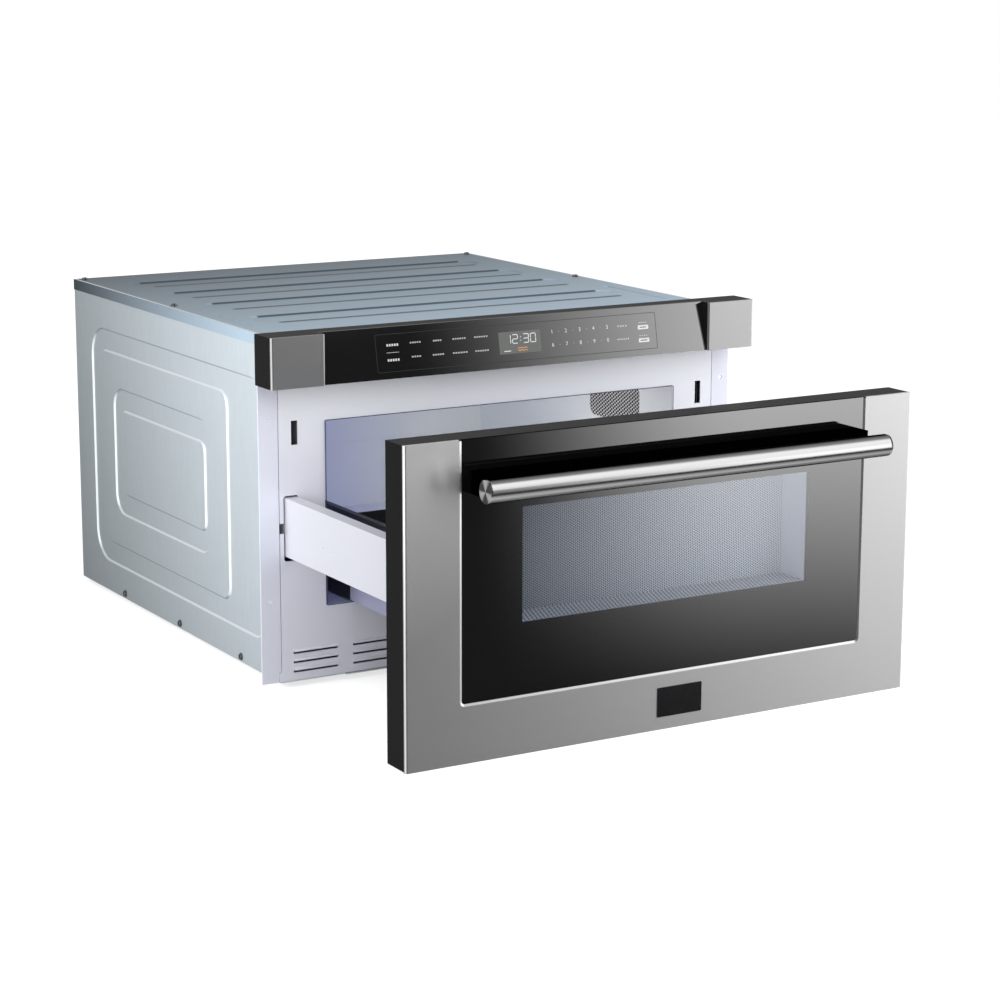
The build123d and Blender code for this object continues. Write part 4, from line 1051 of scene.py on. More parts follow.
class Draft:
    """Collects raised flat shapes on one plane and makes them one mesh piece."""

    def __init__(self, plane: Plane) -> None:
        """Starts an empty draft on a plane."""
        self.plane = plane
        self.mesh = bmesh.new()

    def plate(self, outline: Outline, centre: Spot, base: float, top: float) -> None:
        """Adds a closed plate.

        Args:
            outline: Its points about the centre, anticlockwise.
            centre: Where it lies on the plane.
            base: Height of its underside above the plane.
            top: Height of its face above the plane.
        """
        low = self.loop(outline, centre, base)
        high = self.loop(outline, centre, top)
        self.mesh.faces.new(high)
        self.mesh.faces.new(list(reversed(low)))
        self.walls(low, high)

    def loop(self, outline: Outline, centre: Spot, lift: float) -> list[bmesh.types.BMVert]:
        """Adds the points of an outline at a height above the plane."""
        spots = [self.plane.at(centre[0] + x, centre[1] + y, lift) for x, y in outline]
        return [self.mesh.verts.new(spot) for spot in spots]

    def bar(self, centre: Spot, width: float, height: float, base: float, top: float) -> None:
        """Adds a plain rectangular plate."""
        x, y = width / 2, height / 2
        self.plate([(-x, -y), (x, -y), (x, y), (-x, y)], centre, base, top)

    def rim(self, outer: Outline, inner: Outline, centre: Spot, base: float, top: float) -> None:
        """Adds a closed ring between two outlines with as many points each.

        Args:
            outer: Outline of the outer edge.
            inner: Outline of the inner edge.
            centre: Where the ring lies on the plane.
            base: Height of its underside above the plane.
            top: Height of its face above the plane.
        """
        edges = ((outer, base), (outer, top), (inner, top), (inner, base))
        loops = [self.loop(outline, centre, lift) for outline, lift in edges]
        for index, loop in enumerate(loops):
            self.walls(loop, loops[(index + 1) % len(loops)])

    def walls(self, low: list[bmesh.types.BMVert], high: list[bmesh.types.BMVert]) -> None:
        """Joins two loops of points with faces.

        Args:
            low: The first loop.
            high: The second loop, with as many points.
        """
        count = len(low)
        for index in range(count):
            after = (index + 1) % count
            self.mesh.faces.new((low[index], low[after], high[after], high[index]))

    def mesh_only(self, name: str) -> bpy.types.Mesh:
        """Ends the draft as a plain mesh.

        Args:
            name: The mesh's name.

        Returns:
            The mesh.
        """
        bmesh.ops.recalc_face_normals(self.mesh, faces=self.mesh.faces)
        mesh = bpy.data.meshes.new(name)
        self.mesh.to_mesh(mesh)
        self.mesh.free()
        return mesh

    def piece(self, name: str, material: bpy.types.Material, body: str) -> bpy.types.Object:
        """Ends the draft as a piece that rides on a body."""
        return add_piece(self.mesh_only(name), name, material, body)


def add_piece(mesh: bpy.types.Mesh, name: str, material: bpy.types.Material, body: str) -> bpy.types.Object:
    """Puts a finished mesh in the scene.

    Args:
        mesh: The mesh, in the frame's coordinates.
        name: The piece's name.
        material: Its finish.
        body: The CAD body that it rides on.

    Returns:
        The new object.
    """
    mesh.materials.clear()
    mesh.materials.append(material)
    made = bpy.data.objects.new(name, mesh)
    bpy.context.scene.collection.objects.link(made)
    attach(made, body)
    LOG.info("piece %s: %d faces on %s", name, len(mesh.polygons), body)
    return made


def text_mesh(text: str, height: float, matrix: Matrix, depth: float) -> bpy.types.Mesh:
    """A plain number as a mesh.

    Args:
        text: The digits.
        height: Height of a digit.
        matrix: Where it lies.
        depth: How far it stands out.

    Returns:
        The mesh, in the frame's coordinates.
    """
    curve = bpy.data.curves.new("digits", "FONT")
    curve.body = text
    curve.size = height / 0.7
    curve.align_x = "CENTER"
    curve.align_y = "CENTER"
    curve.extrude = depth / 2.0
    curve.resolution_u = 3
    holder = bpy.data.objects.new("digits", curve)
    mesh = bpy.data.meshes.new_from_object(holder)
    mesh.transform(matrix)
    bpy.data.objects.remove(holder)
    bpy.data.curves.remove(curve)
    return mesh


def join_meshes(meshes: list[bpy.types.Mesh], name: str) -> bpy.types.Mesh:
    """One mesh out of several, which are then removed.

    Args:
        meshes: The meshes.
        name: The new mesh's name.

    Returns:
        The joined mesh.
    """
    whole = bmesh.new()
    for mesh in meshes:
        whole.from_mesh(mesh)
        bpy.data.meshes.remove(mesh)
    joined = bpy.data.meshes.new(name)
    whole.to_mesh(joined)
    whole.free()
    return joined


# ---------------------------------------------------------------- sub-assemblies
@dataclass
class Assembly:
    """A group of pieces that the scene dresses together."""

    palette: Palette
    lift: float = 0.06 * MM

    def dress(self) -> None:
        """Adds the group's pieces; each assembly has its own."""
        raise NotImplementedError


@dataclass
class CarriedOver:
    """The CAD nodes, each in the finish of its slot and shaded smoothly round its bends."""

    palette: Palette
    crease: float = 30.0

    def dress(self) -> None:
        """Gives every node its material."""
        slots = {part["node"]: part["material_slot"] for part in frame["record"]["subparts"]}
        for name, node in frame["nodes"].items():
            node.data.materials.clear()
            node.data.materials.append(self.palette.for_node(name, slots[name]))
            self.smooth(node)
            LOG.info("node %s: slot %s", name, slots[name])

    def smooth(self, node: bpy.types.Object) -> None:
        """Shades bends softer than the crease angle smoothly and keeps flat faces flat.

        Args:
            node: The object of a CAD node.
        """
        stored = node.data.attributes.get("custom_normal")
        if stored is not None:
            node.data.attributes.remove(stored)
        node.data.shade_smooth()
        node.data.set_sharp_from_angle(angle=math.radians(self.crease))
        even = node.modifiers.new("even_normals", "WEIGHTED_NORMAL")
        even.keep_sharp = True


@dataclass
class ControlStrip(Assembly):
    """Keypad, display and border on the sloping control glass, sizes in millimetres."""

    glass_t: float = 3.0
    zone_half: float = 176.6
    zone_low: float = 333.2
    zone_high: float = 372.9
    zone_line: float = 0.5
    display: tuple[float, float, float, float] = (-26.9, 25.9, 341.2, 364.6)
    digit_x: tuple[float, float] = (40.8, 112.1)
    digit_rows: tuple[tuple[str, float], ...] = (("12345", 360.8), ("67890", 346.7))
    digit_h: float = 4.2
    word_x: tuple[float, ...] = (-129.0, -102.4, -75.6, -48.7)
    word_rows: tuple[tuple[float, tuple[float, ...]], ...] = (
        (362.0, (14.0, 11.0, 17.0, 17.5)),
        (347.3, (12.0, 14.5, 19.0, 17.5)),
    )
    word_h: float = 2.6
    main_x: float = -156.6
    main_rows: tuple[float, ...] = (361.2, 345.6)
    main_w: float = 15.0
    side_x: float = 131.9
    side_rows: tuple[tuple[float, float], ...] = ((360.6, 13.5), (346.4, 16.5))
    pill_x: float = 159.4
    pill_rows: tuple[float, ...] = (357.5, 343.3)
    pill_w: float = 14.0
    pill_h: float = 4.6
    clock_at: Spot = (0.4, 356.6)
    clock_digit: tuple[float, float, float] = (9.4, 6.4, 8.9)
    bar_at: Spot = (-17.0, 344.2)
    bar_size: Spot = (8.5, 0.9)
    wave_at: Spot = (-2.6, 346.8)
    wave_rows: int = 2
    wave_teeth: int = 5
    wave_pitch: float = 2.4
    wave_drop: float = 2.6
    wave_rise: float = 0.55
    wave_half_t: float = 0.35
    plane: Plane = field(init=False)

    def __post_init__(self) -> None:
        """Finds the sloping face from the glass node's box."""
        low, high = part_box("control_glass")
        foot = Vector((0.0, low.y, low.z))
        crown = Vector((0.0, high.y - self.glass_t * MM, high.z))
        self.plane = Plane(foot, Vector((1.0, 0.0, 0.0)), (crown - foot).normalized())

    def up(self, z: float) -> float:
        """Distance up the sloping face of a point at height z, in metres."""
        return (z * MM - self.plane.origin.z) / self.plane.up.z

    def spot(self, x: float, z: float) -> tuple[float, float]:
        """A place on the face from x and z in millimetres."""
        return x * MM, self.up(z)

    def dress(self) -> None:
        """Adds the border, the display and the keypad."""
        self.border()
        self.display_window()
        self.digits()
        self.words()
        self.pills()

    def border(self) -> None:
        """The thin line round the touch zone."""
        centre = self.spot(0.0, (self.zone_low + self.zone_high) / 2.0)
        width = 2.0 * self.zone_half * MM
        height = self.up(self.zone_high) - self.up(self.zone_low)
        line = self.zone_line * MM
        draft = Draft(self.plane)
        outer = rounded_outline(width, height, 1.2 * MM)
        inner = rounded_outline(width - 2 * line, height - 2 * line, 0.8 * MM)
        draft.rim(outer, inner, centre, 0.0, self.lift)
        draft.piece("touch_zone_line", self.palette.for_extra("zone_line"), "casing")

    def display_window(self) -> None:
        """The lit window with a clock in seven-segment digits and a heating mark."""
        x0, x1, z0, z1 = self.display
        centre = self.spot((x0 + x1) / 2.0, (z0 + z1) / 2.0)
        draft = Draft(self.plane)
        pane = rounded_outline((x1 - x0) * MM, self.up(z1) - self.up(z0), 1.0 * MM)
        draft.plate(pane, centre, 0.0, self.lift)
        draft.piece("display_window", self.palette.for_extra("display_back"), "casing")
        clock = SevenSegment(self.plane, self.lift)
        height, width, pitch = (size * MM for size in self.clock_digit)
        clock.write("12:30", self.spot(*self.clock_at), height, width, pitch)
        clock.draft.piece("display_clock", self.palette.for_extra("display_glow"), "casing")
        self.heating_mark()
        bar = Draft(self.plane)
        long, thick = self.bar_size
        bar.bar(self.spot(*self.bar_at), long * MM, thick * MM, self.lift, 2 * self.lift)
        bar.piece("display_bar", self.palette.for_extra("display_glow"), "casing")

    def heating_mark(self) -> None:
        """Two zigzag lines under the clock."""
        waves = Draft(self.plane)
        half = self.wave_pitch / 2.0 * MM
        thick = self.wave_half_t * MM
        x, z = self.wave_at
        for row in range(self.wave_rows):
            for tooth in range(self.wave_teeth):
                place = self.spot(x + tooth * self.wave_pitch, z - row * self.wave_drop)
                rise = (self.wave_rise if tooth % 2 else -self.wave_rise) * MM
                left = [(-half, -rise - thick), (-half, -rise + thick)]
                right = [(half, rise - thick), (half, rise + thick)]
                waves.plate([left[0], *right, left[1]], place, self.lift, 2 * self.lift)
        waves.piece("display_waves", self.palette.for_extra("wave_mark"), "casing")

    def digits(self) -> None:
        """The plain numbers of the keypad, with dots between them."""
        meshes = []
        first, last = self.digit_x
        pitch = (last - first) / 4.0
        dots = Draft(self.plane)
        for text, z in self.digit_rows:
            for index, digit in enumerate(text):
                x, up = self.spot(first + index * pitch, z)
                matrix = self.plane.matrix(x, up, self.lift)
                meshes.append(text_mesh(digit, self.digit_h * MM, matrix, 2 * self.lift))
                if index:
                    middle = self.spot(first + (index - 0.5) * pitch, z)
                    dots.bar(middle, 0.7 * MM, 0.7 * MM, 0.0, self.lift)
        joined = join_meshes(meshes, "keypad_digits")
        add_piece(joined, "keypad_digits", self.palette.for_extra("key_print"), "casing")
        dots.piece("keypad_dots", self.palette.for_extra("word_print"), "casing")

    def words(self) -> None:
        """Plain bars where the strip has words."""
        draft = Draft(self.plane)
        for z, widths in self.word_rows:
            for x, width in zip(self.word_x, widths):
                self.dashes(draft, x, z, width, self.word_h)
        for z, width in self.side_rows:
            self.dashes(draft, self.side_x, z, width, self.word_h)
        for z in self.pill_rows:
            self.dashes(draft, self.pill_x - 0.5, z + 5.2, self.pill_w * 0.8, 1.8)
        draft.piece("function_bars", self.palette.for_extra("word_print"), "casing")
        main = Draft(self.plane)
        for z in self.main_rows:
            self.dashes(main, self.main_x, z, self.main_w, 4.0)
        middle = self.spot(self.main_x, sum(self.main_rows) / 2.0)
        main.bar(middle, self.main_w * MM, 0.35 * MM, 0.0, self.lift)
        main.piece("main_bars", self.palette.for_extra("key_print"), "casing")

    def dashes(self, draft: Draft, x: float, z: float, width: float, height: float) -> None:
        """A row of short bars that fills the place of a word.

        Args:
            draft: The draft that takes the bars.
            x: Middle of the row across the oven.
            z: Height of the row.
            width: Width of the row.
            height: Height of the word that it stands for.
        """
        count = max(3, round(width / 3.0))
        pitch = width / count
        for index in range(count):
            place = self.spot(x + (index - (count - 1) / 2.0) * pitch, z)
            draft.bar(place, pitch * 0.62 * MM, height * MM * 0.62, 0.0, self.lift)

    def pills(self) -> None:
        """The two light keys at the right."""
        draft = Draft(self.plane)
        marks = Draft(self.plane)
        for z in self.pill_rows:
            outline = rounded_outline(self.pill_w * MM, self.pill_h * MM, 1.0 * MM)
            draft.plate(outline, self.spot(self.pill_x, z), 0.0, self.lift)
            marks.bar(self.spot(self.pill_x, z), self.pill_w * 0.6 * MM, 0.9 * MM, self.lift, 1.6 * self.lift)
        draft.piece("key_pills", self.palette.for_extra("key_print"), "casing")
        marks.piece("key_pill_marks", self.palette.for_extra("zone_line"), "casing")


class SevenSegment:
    """Draws digits of seven bars each on a plane."""

    BARS = {
        "0": "abcdef", "1": "bc", "2": "abged", "3": "abgcd", "4": "fgbc",
        "5": "afgcd", "6": "afgedc", "7": "abc", "8": "abcdefg", "9": "abcdfg",
    }

    def __init__(self, plane: Plane, lift: float) -> None:
        """Starts a draft on the plane."""
        self.draft = Draft(plane)
        self.lift = lift

    def write(self, text: str, centre: Spot, height: float, width: float, pitch: float) -> None:
        """Writes digits and colons about a centre.

        Args:
            text: Digits and colons.
            centre: Middle of the line on the plane.
            height: Height of a digit.
            width: Width of a digit.
            pitch: Distance from digit to digit.
        """
        steps = [0.55 if sign == ":" else 1.0 for sign in text]
        x = centre[0] - pitch * sum(steps) / 2.0
        for sign, step in zip(text, steps):
            middle = (x + pitch * step / 2.0, centre[1])
            if sign == ":":
                for side in (-1, 1):
                    dot = (middle[0], middle[1] + side * height * 0.2)
                    self.draft.bar(dot, height * 0.1, height * 0.1, self.lift, 2 * self.lift)
            else:
                self.digit(sign, middle, height, width)
            x += pitch * step

    def digit(self, sign: str, middle: tuple[float, float], height: float, width: float) -> None:
        """Draws one digit about its middle, bar by bar.

        Args:
            sign: The digit.
            middle: Its middle on the plane.
            height: Its height.
            width: Its width.
        """
        thick = height * 0.09
        places = {
            "a": (0.0, height / 2.0, True), "g": (0.0, 0.0, True), "d": (0.0, -height / 2.0, True),
            "f": (-width / 2.0, height / 4.0, False), "b": (width / 2.0, height / 4.0, False),
            "e": (-width / 2.0, -height / 4.0, False), "c": (width / 2.0, -height / 4.0, False),
        }
        for bar in self.BARS[sign]:
            dx, dy, flat = places[bar]
            long = (width if flat else height / 2.0) - thick * 1.3
            tip = thick / 2.0
            end = long / 2
            points = [(-end, -tip), (end, -tip), (end + tip, 0), (end, tip), (-end, tip), (-end - tip, 0)]
            if not flat:
                points = [(-y, x) for x, y in points]
            self.draft.plate(points, (middle[0] + dx, middle[1] + dy), self.lift, 2 * self.lift)


@dataclass
class DrawerFront(Assembly):
    """The bare plate on the bottom rail of the steel frame, sizes in millimetres."""

    badge: tuple[float, float, float, float] = (-13.0, 41.0, 7.6, 38.6)
    badge_rim: float = 0.7
    badge_t: float = 0.9
    plane: Plane = field(init=False)

    def __post_init__(self) -> None:
        """Takes the front face of the steel frame as the work plane."""
        low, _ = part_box("front_frame")
        self.plane = Plane(Vector((0.0, low.y, 0.0)), Vector((1.0, 0.0, 0.0)), Vector((0.0, 0.0, 1.0)))

    def dress(self) -> None:
        """Adds the plate and its rim, with nothing on it."""
        x0, x1, z0, z1 = self.badge
        centre = ((x0 + x1) / 2.0 * MM, (z0 + z1) / 2.0 * MM)
        rim = self.badge_rim * MM
        width = (x1 - x0) * MM
        height = (z1 - z0) * MM
        plate = Draft(self.plane)
        inner = rounded_outline(width - 2 * rim, height - 2 * rim, 0.8 * MM)
        plate.plate(inner, centre, 0.0, self.badge_t * 0.7 * MM)
        plate.piece("badge_plate", self.palette.for_extra("badge_plate"), "drawer")
        frame_rim = Draft(self.plane)
        frame_rim.rim(rounded_outline(width, height, 1.2 * MM), inner, centre, 0.0, self.badge_t * MM)
        frame_rim.piece("badge_rim", self.palette.for_extra("badge_plate"), "drawer")


@dataclass
class RailDetails(Assembly):
    """Pressed dimples on the outer webs of the side rails, with a painted highlight on the rim and painted
    shade in the middle, sizes in millimetres.
    """

    dimples: tuple[tuple[float, float], ...] = ((-88.7, 166.4), (-109.3, 165.9))
    dimple_r: float = 2.2

    def dress(self) -> None:
        """Adds a shallow ring in a lighter paint, a painted highlight, and a dark middle, painted shade, for
        each of the dimples on both rails.
        """
        for side in Side:
            low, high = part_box(f"side_rail_{side.word}")
            x = low.x if side is Side.LEFT else high.x
            across = Vector((0.0, float(side.value), 0.0))
            plane = Plane(Vector((x, 0.0, 0.0)), across, Vector((0.0, 0.0, 1.0)))
            ring = Draft(plane)
            dark = Draft(plane)
            for y, z in self.dimples:
                centre = (y * side.value * MM, z * MM)
                outer = self.round_outline(self.dimple_r * MM)
                inner = self.round_outline(0.65 * self.dimple_r * MM)
                ring.rim(outer, inner, centre, 0.0, 0.25 * MM)
                dark.plate(inner, centre, 0.0, self.lift)
            ring.piece(f"rail_dimple_rims_{side.word}", self.palette.for_extra("dimple_rim_highlight"), "drawer")
            dark.piece(f"rail_dimple_shades_{side.word}", self.palette.for_extra("dimple_shade"), "drawer")

    def round_outline(self, radius: float) -> Outline:
        """A circle in sixteen steps."""
        return rounded_outline(2 * radius, 2 * radius, radius, 5)


@dataclass
class MouthShadeLine(Assembly):
    """A dark line round the mouth of the face plate, painted shade where the edge of the opening falls into
    shadow, sizes in millimetres.
    """

    half: float = 222.0
    low: float = 80.0
    high: float = 282.0
    out: float = 0.2
    inward: float = 0.6
    proud: float = 0.1
    corner: float = 1.5

    def dress(self) -> None:
        """Lays one closed line on the edge of the opening."""
        face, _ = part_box("face_plate")
        plane = Plane(Vector((0.0, face.y, 0.0)), Vector((1.0, 0.0, 0.0)), Vector((0.0, 0.0, 1.0)))
        width = 2.0 * self.half
        height = self.high - self.low
        outlines = []
        for reach in (self.out, -self.inward):
            size = (width + 2.0 * reach, height + 2.0 * reach, self.corner + reach)
            outlines.append(rounded_outline(*(value * MM for value in size)))
        draft = Draft(plane)
        centre = (0.0, (self.low + self.high) / 2.0 * MM)
        draft.rim(outlines[0], outlines[1], centre, -0.5 * MM, self.proud * MM)
        draft.piece("mouth_shade_line", self.palette.for_extra("mouth_shade_line"), "casing")


@dataclass
class CasingScrews(Assembly):
    """Domed heads with cross recesses, drawn as dark crosses of painted shade, in place of the CAD's plain
    heads, sizes in millimetres.
    """

    side_y: tuple[float, ...] = (101.0, 267.0, 430.0)
    side_z: float = 6.2
    top_y: tuple[float, ...] = (283.0, 553.0)
    top_x: float = 268.0
    profile: tuple[tuple[float, float], ...] = (
        (4.3, 0.0), (4.3, 0.5), (3.5, 0.8), (3.4, 1.9), (2.9, 2.4), (1.9, 2.6),
    )
    sides: int = 20
    arm: float = 3.4
    arm_w: float = 0.9

    def dress(self) -> None:
        """Makes all heads as one piece, and their recesses as another."""
        _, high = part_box("side_panel_right")
        _, top_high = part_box("top_cover")
        heads = bmesh.new()
        crosses = []
        deck = Plane(Vector((0.0, 0.0, top_high.z)), Vector((1.0, 0.0, 0.0)), Vector((0.0, 1.0, 0.0)))
        for side in Side:
            corner = Vector((side.value * high.x, 0.0, 0.0))
            flank = Plane(corner, Vector((0.0, float(side.value), 0.0)), Vector((0.0, 0.0, 1.0)))
            spots = [(flank, y * side.value, self.side_z) for y in self.side_y]
            spots += [(deck, self.top_x * side.value, y) for y in self.top_y]
            for plane, across, up in spots:
                self.head(heads, plane, across, up)
                crosses.append((plane, across, up))
        bmesh.ops.recalc_face_normals(heads, faces=heads.faces)
        mesh = bpy.data.meshes.new("casing_screw_heads")
        heads.to_mesh(mesh)
        heads.free()
        mesh.shade_smooth()
        mesh.set_sharp_from_angle(angle=math.radians(40.0))
        zinc = self.palette.for_node("casing_screws", "screw_steel")
        made = add_piece(mesh, "casing_screw_heads", zinc, "casing")
        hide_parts("casing_screws")
        self.recesses(crosses)

    def head(self, mesh: bmesh.types.BMesh, plane: Plane, across: float, up: float) -> None:
        """Turns the head's profile about its axis.

        Args:
            mesh: The mesh that all heads are collected in.
            plane: The sheet's face.
            across: Where the head lies along the plane.
            up: Where it lies up the plane.
        """
        loops = []
        for radius, lift in self.profile:
            loop = []
            for step in range(self.sides):
                angle = 2.0 * math.pi * step / self.sides
                x = across + radius * math.cos(angle)
                y = up + radius * math.sin(angle)
                loop.append(mesh.verts.new(plane.at(x * MM, y * MM, lift * MM)))
            loops.append(loop)
        for low, high in zip(loops, loops[1:]):
            for index in range(self.sides):
                after = (index + 1) % self.sides
                mesh.faces.new((low[index], low[after], high[after], high[index]))
        mesh.faces.new(loops[-1])
        mesh.faces.new(list(reversed(loops[0])))

    def recesses(self, crosses: list[tuple[Plane, float, float]]) -> None:
        """Adds a dark cross on every head: painted shade for the cross recesses.

        Args:
            crosses: Plane and place of each head.
        """
        meshes = []
        face = self.profile[-1][1] * MM
        for plane, across, up in crosses:
            draft = Draft(plane)
            centre = (across * MM, up * MM)
            arm = self.arm * MM
            wide = self.arm_w * MM
            draft.bar(centre, arm, wide, face, face + self.lift)
            rest = (arm - wide) / 2.0
            for sign in (-1, 1):
                place = (centre[0], centre[1] + sign * (wide + rest) / 2.0)
                draft.bar(place, wide, rest, face, face + self.lift)
            meshes.append(draft.mesh_only("recess_shade"))
        joined = join_meshes(meshes, "casing_screw_recesses")
        add_piece(joined, "casing_screw_recesses", self.palette.for_extra("recess_shade"), "casing")


# ---------------------------------------------------------------- studio
@dataclass(frozen=True)
class PhotoCamera:
    """The photograph's camera, in millimetres and degrees, about a point of the oven."""

    target: tuple[float, float, float] = (0.0, -150.0, 180.0)
    azimuth: float = -30.487
    elevation: float = 12.04
    roll: float = 0.115
    distance: float = 2800.354
    shift_right: float = -81.065
    shift_up: float = 18.921
    lens: float = 95.109
    sensor: float = 36.0

    def build(self) -> bpy.types.Object:
        """Makes the camera and sets it as the scene's.

        Returns:
            The camera object.
        """
        a = math.radians(self.azimuth)
        e = math.radians(self.elevation)
        r = math.radians(self.roll)
        back = Vector((math.sin(a) * math.cos(e), -math.cos(a) * math.cos(e), math.sin(e)))
        right = Vector((0.0, 0.0, 1.0)).cross(back).normalized()
        up = back.cross(right)
        turned_right = right * math.cos(r) + up * math.sin(r)
        turned_up = up * math.cos(r) - right * math.sin(r)
        place = Vector(self.target) + back * self.distance
        place += turned_right * self.shift_right + turned_up * self.shift_up
        lens = bpy.data.cameras.new("photo_camera")
        lens.lens = self.lens
        lens.sensor_width = self.sensor
        lens.sensor_fit = "AUTO"
        lens.clip_start = 0.05
        lens.clip_end = 50.0
        made = bpy.data.objects.new("photo_camera", lens)
        bpy.context.scene.collection.objects.link(made)
        axes = Matrix((turned_right, turned_up, back)).transposed().to_4x4()
        made.matrix_world = Matrix.Translation(place * MM) @ axes
        bpy.context.scene.camera = made
        return made


@dataclass(frozen=True)
class Softbox:
    """A soft light as metal and glass mirror it: a window of directions in degrees, from +Y towards +X."""

    azimuth: tuple[float, float]
    elevation: tuple[float, float]
    soft: tuple[float, float]
    strength: float

    def glow(self, graph: NodeGraph, azimuth: Socket, elevation: Socket) -> Socket:
        """Its brightness in a direction that is given by two angles in radians.

        Args:
            graph: The tree that the nodes go into.
            azimuth: The direction round the oven, in radians.
            elevation: The direction up, in radians.

        Returns:
            The brightness.
        """
        level: Socket | float = self.strength
        spans = ((azimuth, *self.azimuth, self.soft[0]), (elevation, *self.elevation, self.soft[1]))
        for angle, *span in spans:
            low, high, edge = (math.radians(degrees) for degrees in span)
            level = graph.math("MULTIPLY", graph.ramp(angle, low - edge, low + edge, 0.0, 1.0), level)
            level = graph.math("MULTIPLY", graph.ramp(angle, high - edge, high + edge, 1.0, 0.0), level)
        return level


@dataclass(frozen=True)
class Lamp:
    """An area lamp, in metres, aimed at a point."""

    name: str
    place: tuple[float, float, float]
    aim: tuple[float, float, float]
    size: float
    power: float
    color: Rgb = (1.0, 1.0, 1.0)

    def build(self) -> None:
        """Adds the lamp. Mirrors don't show it, because the room's own glow is what they show."""
        light = bpy.data.lights.new(self.name, "AREA")
        light.shape = "SQUARE"
        light.size = self.size
        light.energy = self.power
        light.color = self.color
        made = bpy.data.objects.new(self.name, light)
        bpy.context.scene.collection.objects.link(made)
        made.location = self.place
        made.rotation_mode = "QUATERNION"
        made.rotation_quaternion = (Vector(self.aim) - Vector(self.place)).to_track_quat("-Z", "Y")
        made.visible_glossy = False
        made.visible_camera = False


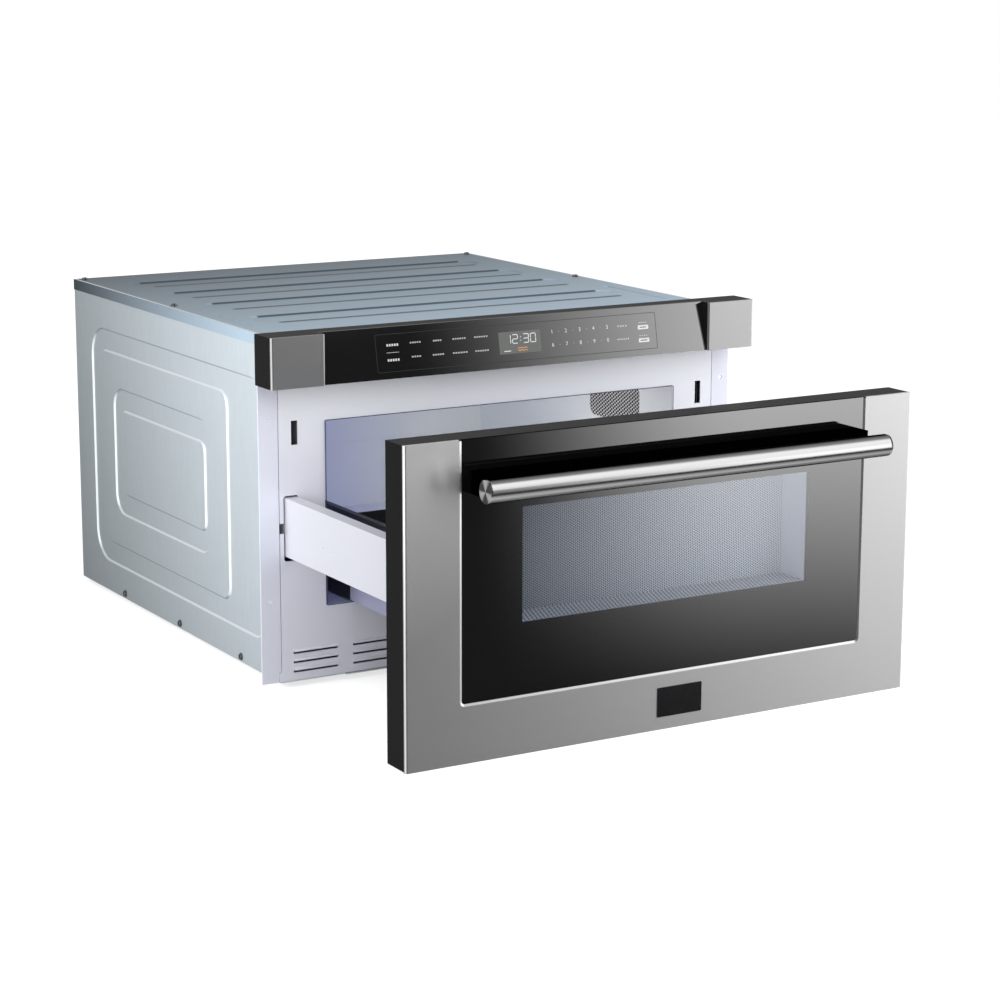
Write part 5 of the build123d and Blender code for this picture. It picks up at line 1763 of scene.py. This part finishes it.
@dataclass
class Studio:
    """White room, pale floor, soft lamps and the camera."""

    ambient_front: float = 1.0
    ambient_back: float = 0.35
    mirror_front: float = 0.025
    mirror_low: float = 0.3
    mirror_high: float = 0.46
    mirror_ground: float = 0.42
    floor_color: float = 0.7
    floor_glow: float = 0.65
    boxes: tuple[Softbox, ...] = (
        Softbox((75.0, 147.0), (-3.5, 14.5), (4.5, 4.2), 2.15),
        Softbox((75.0, 147.0), (-12.6, -3.5), (3.2, 4.2), 1.95),
        Softbox((111.0, 158.0), (14.5, 62.0), (16.0, 4.2), 1.55),
        Softbox((100.0, 170.0), (-62.0, -32.0), (10.0, 6.0), 0.34),
        Softbox((-150.0, -70.0), (-30.0, 40.0), (18.0, 14.0), 1.4),
    )
    lamps: tuple[Lamp, ...] = (
        Lamp("key_lamp", (1.5, -2.4, 1.6), (0.0, -0.1, 0.15), 1.8, 22.0),
        Lamp("side_lamp", (-0.95, 0.04, 0.4), (-0.277, 0.04, 0.3), 0.35, 3.6),
        Lamp("plate_fill", (-1.2, -1.7, 0.15), (-0.1, 0.0, 0.28), 0.8, 7.5),
        Lamp("right_fill", (0.75, -0.5, 0.3), (0.12, 0.0, 0.3), 0.3, 1.8),
        Lamp("cavity_glow", (0.0, 0.06, 0.19), (0.2, 0.36, 0.22), 0.16, 0.32, (1.0, 0.97, 0.9)),
    )
    camera: PhotoCamera = field(default_factory=PhotoCamera)

    def build(self) -> None:
        """Makes the whole studio."""
        bpy.context.scene.view_settings.view_transform = "Standard"
        self.camera.build()
        self.room()
        self.floor()
        for lamp in self.lamps:
            lamp.build()
            LOG.info("lamp %s", lamp.name)

    def mirrored(self, graph: NodeGraph, direction: Socket) -> Socket:
        """What mirrors see: a dark front, a pale back and ground, and the soft boxes.

        Args:
            graph: The tree that the nodes go into.
            direction: The direction that is looked in.

        Returns:
            The brightness.
        """
        across, depth, height = graph.parts(direction)
        azimuth = graph.math("ARCTAN2", across, depth)
        elevation = graph.math("ARCSINE", height)
        back = graph.ramp(height, 0.02, 0.3, self.mirror_low, self.mirror_high)
        share = graph.ramp(depth, -0.8, 0.15, 0.0, 1.0)
        level = graph.math("MULTIPLY", share, graph.math("SUBTRACT", back, self.mirror_front))
        level = graph.math("ADD", level, self.mirror_front)
        ground = graph.ramp(height, -0.75, -0.6, 1.0, 0.0)
        missing = graph.math("SUBTRACT", self.mirror_ground, level)
        level = graph.math("ADD", level, graph.math("MULTIPLY", ground, missing))
        for box in self.boxes:
            level = graph.math("ADD", level, box.glow(graph, azimuth, elevation))
        return level

    def room(self) -> None:
        """The world: white to the camera, plain light for surfaces, soft boxes for mirrors."""
        world = bpy.data.worlds.new("studio")
        bpy.context.scene.world = world
        world.use_nodes = True
        graph = NodeGraph(world.node_tree)
        direction = graph.node("ShaderNodeTexCoord").outputs["Generated"]
        path = graph.node("ShaderNodeLightPath").outputs
        white = (1.0, 1.0, 1.0, 1.0)
        _, depth, _ = graph.parts(direction)
        fill = graph.ramp(depth, -0.6, 0.6, self.ambient_front, self.ambient_back)
        plain = graph.node("ShaderNodeBackground", {"Color": white, "Strength": fill}).outputs[0]
        level = self.mirrored(graph, direction)
        mirror = graph.node("ShaderNodeBackground", {"Color": white, "Strength": level}).outputs[0]
        bright = graph.node("ShaderNodeBackground", {"Color": white, "Strength": 1.0}).outputs[0]
        lit = graph.mixed(path["Is Glossy Ray"], plain, mirror)
        straight = graph.math("MAXIMUM", path["Is Camera Ray"], path["Is Transmission Ray"])
        seen = graph.mixed(straight, lit, bright)
        graph.node("ShaderNodeOutputWorld", {"Surface": seen})

    def floor(self) -> None:
        """A pale floor under the lowest point, white where no shadow falls; mirrors don't show it."""
        low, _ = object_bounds()
        mesh = bpy.data.meshes.new("studio_floor")
        reach = 6.0
        corners = [(-reach, -reach, 0.0), (reach, -reach, 0.0), (reach, reach, 0.0), (-reach, reach, 0.0)]
        mesh.from_pydata(corners, [], [(0, 1, 2, 3)])
        made = bpy.data.objects.new("studio_floor", mesh)
        made.location.z = low.z
        bpy.context.scene.collection.objects.link(made)
        paint = FloorPaint("floor_paint", (self.floor_color,) * 3, 0.9, self.floor_glow)
        mesh.materials.append(paint.build())
        made.visible_glossy = False
        made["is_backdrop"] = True


def main() -> None:
    """Dresses the oven, then sets up the studio."""
    logging.basicConfig(level=logging.INFO, format="%(message)s")
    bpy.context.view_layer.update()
    bar_low, bar_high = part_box("handle_bar")
    screen_low, screen_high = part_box("window_screen")
    lap = 8.8 * MM
    sides = (screen_low.x + lap, screen_high.x - lap)
    ends = (screen_low.z + lap, screen_high.z - lap)
    window = Region(*sides, *ends, corner=0.6 * MM)
    palette = Palette(window, (bar_low + bar_high) / 2.0)
    CarriedOver(palette).dress()
    for assembly in (ControlStrip, DrawerFront, RailDetails, MouthShadeLine, CasingScrews):
        LOG.info("assembly %s", assembly.__name__)
        assembly(palette).dress()
    Studio().build()
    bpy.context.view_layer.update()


if __name__ == "__main__":
    main()
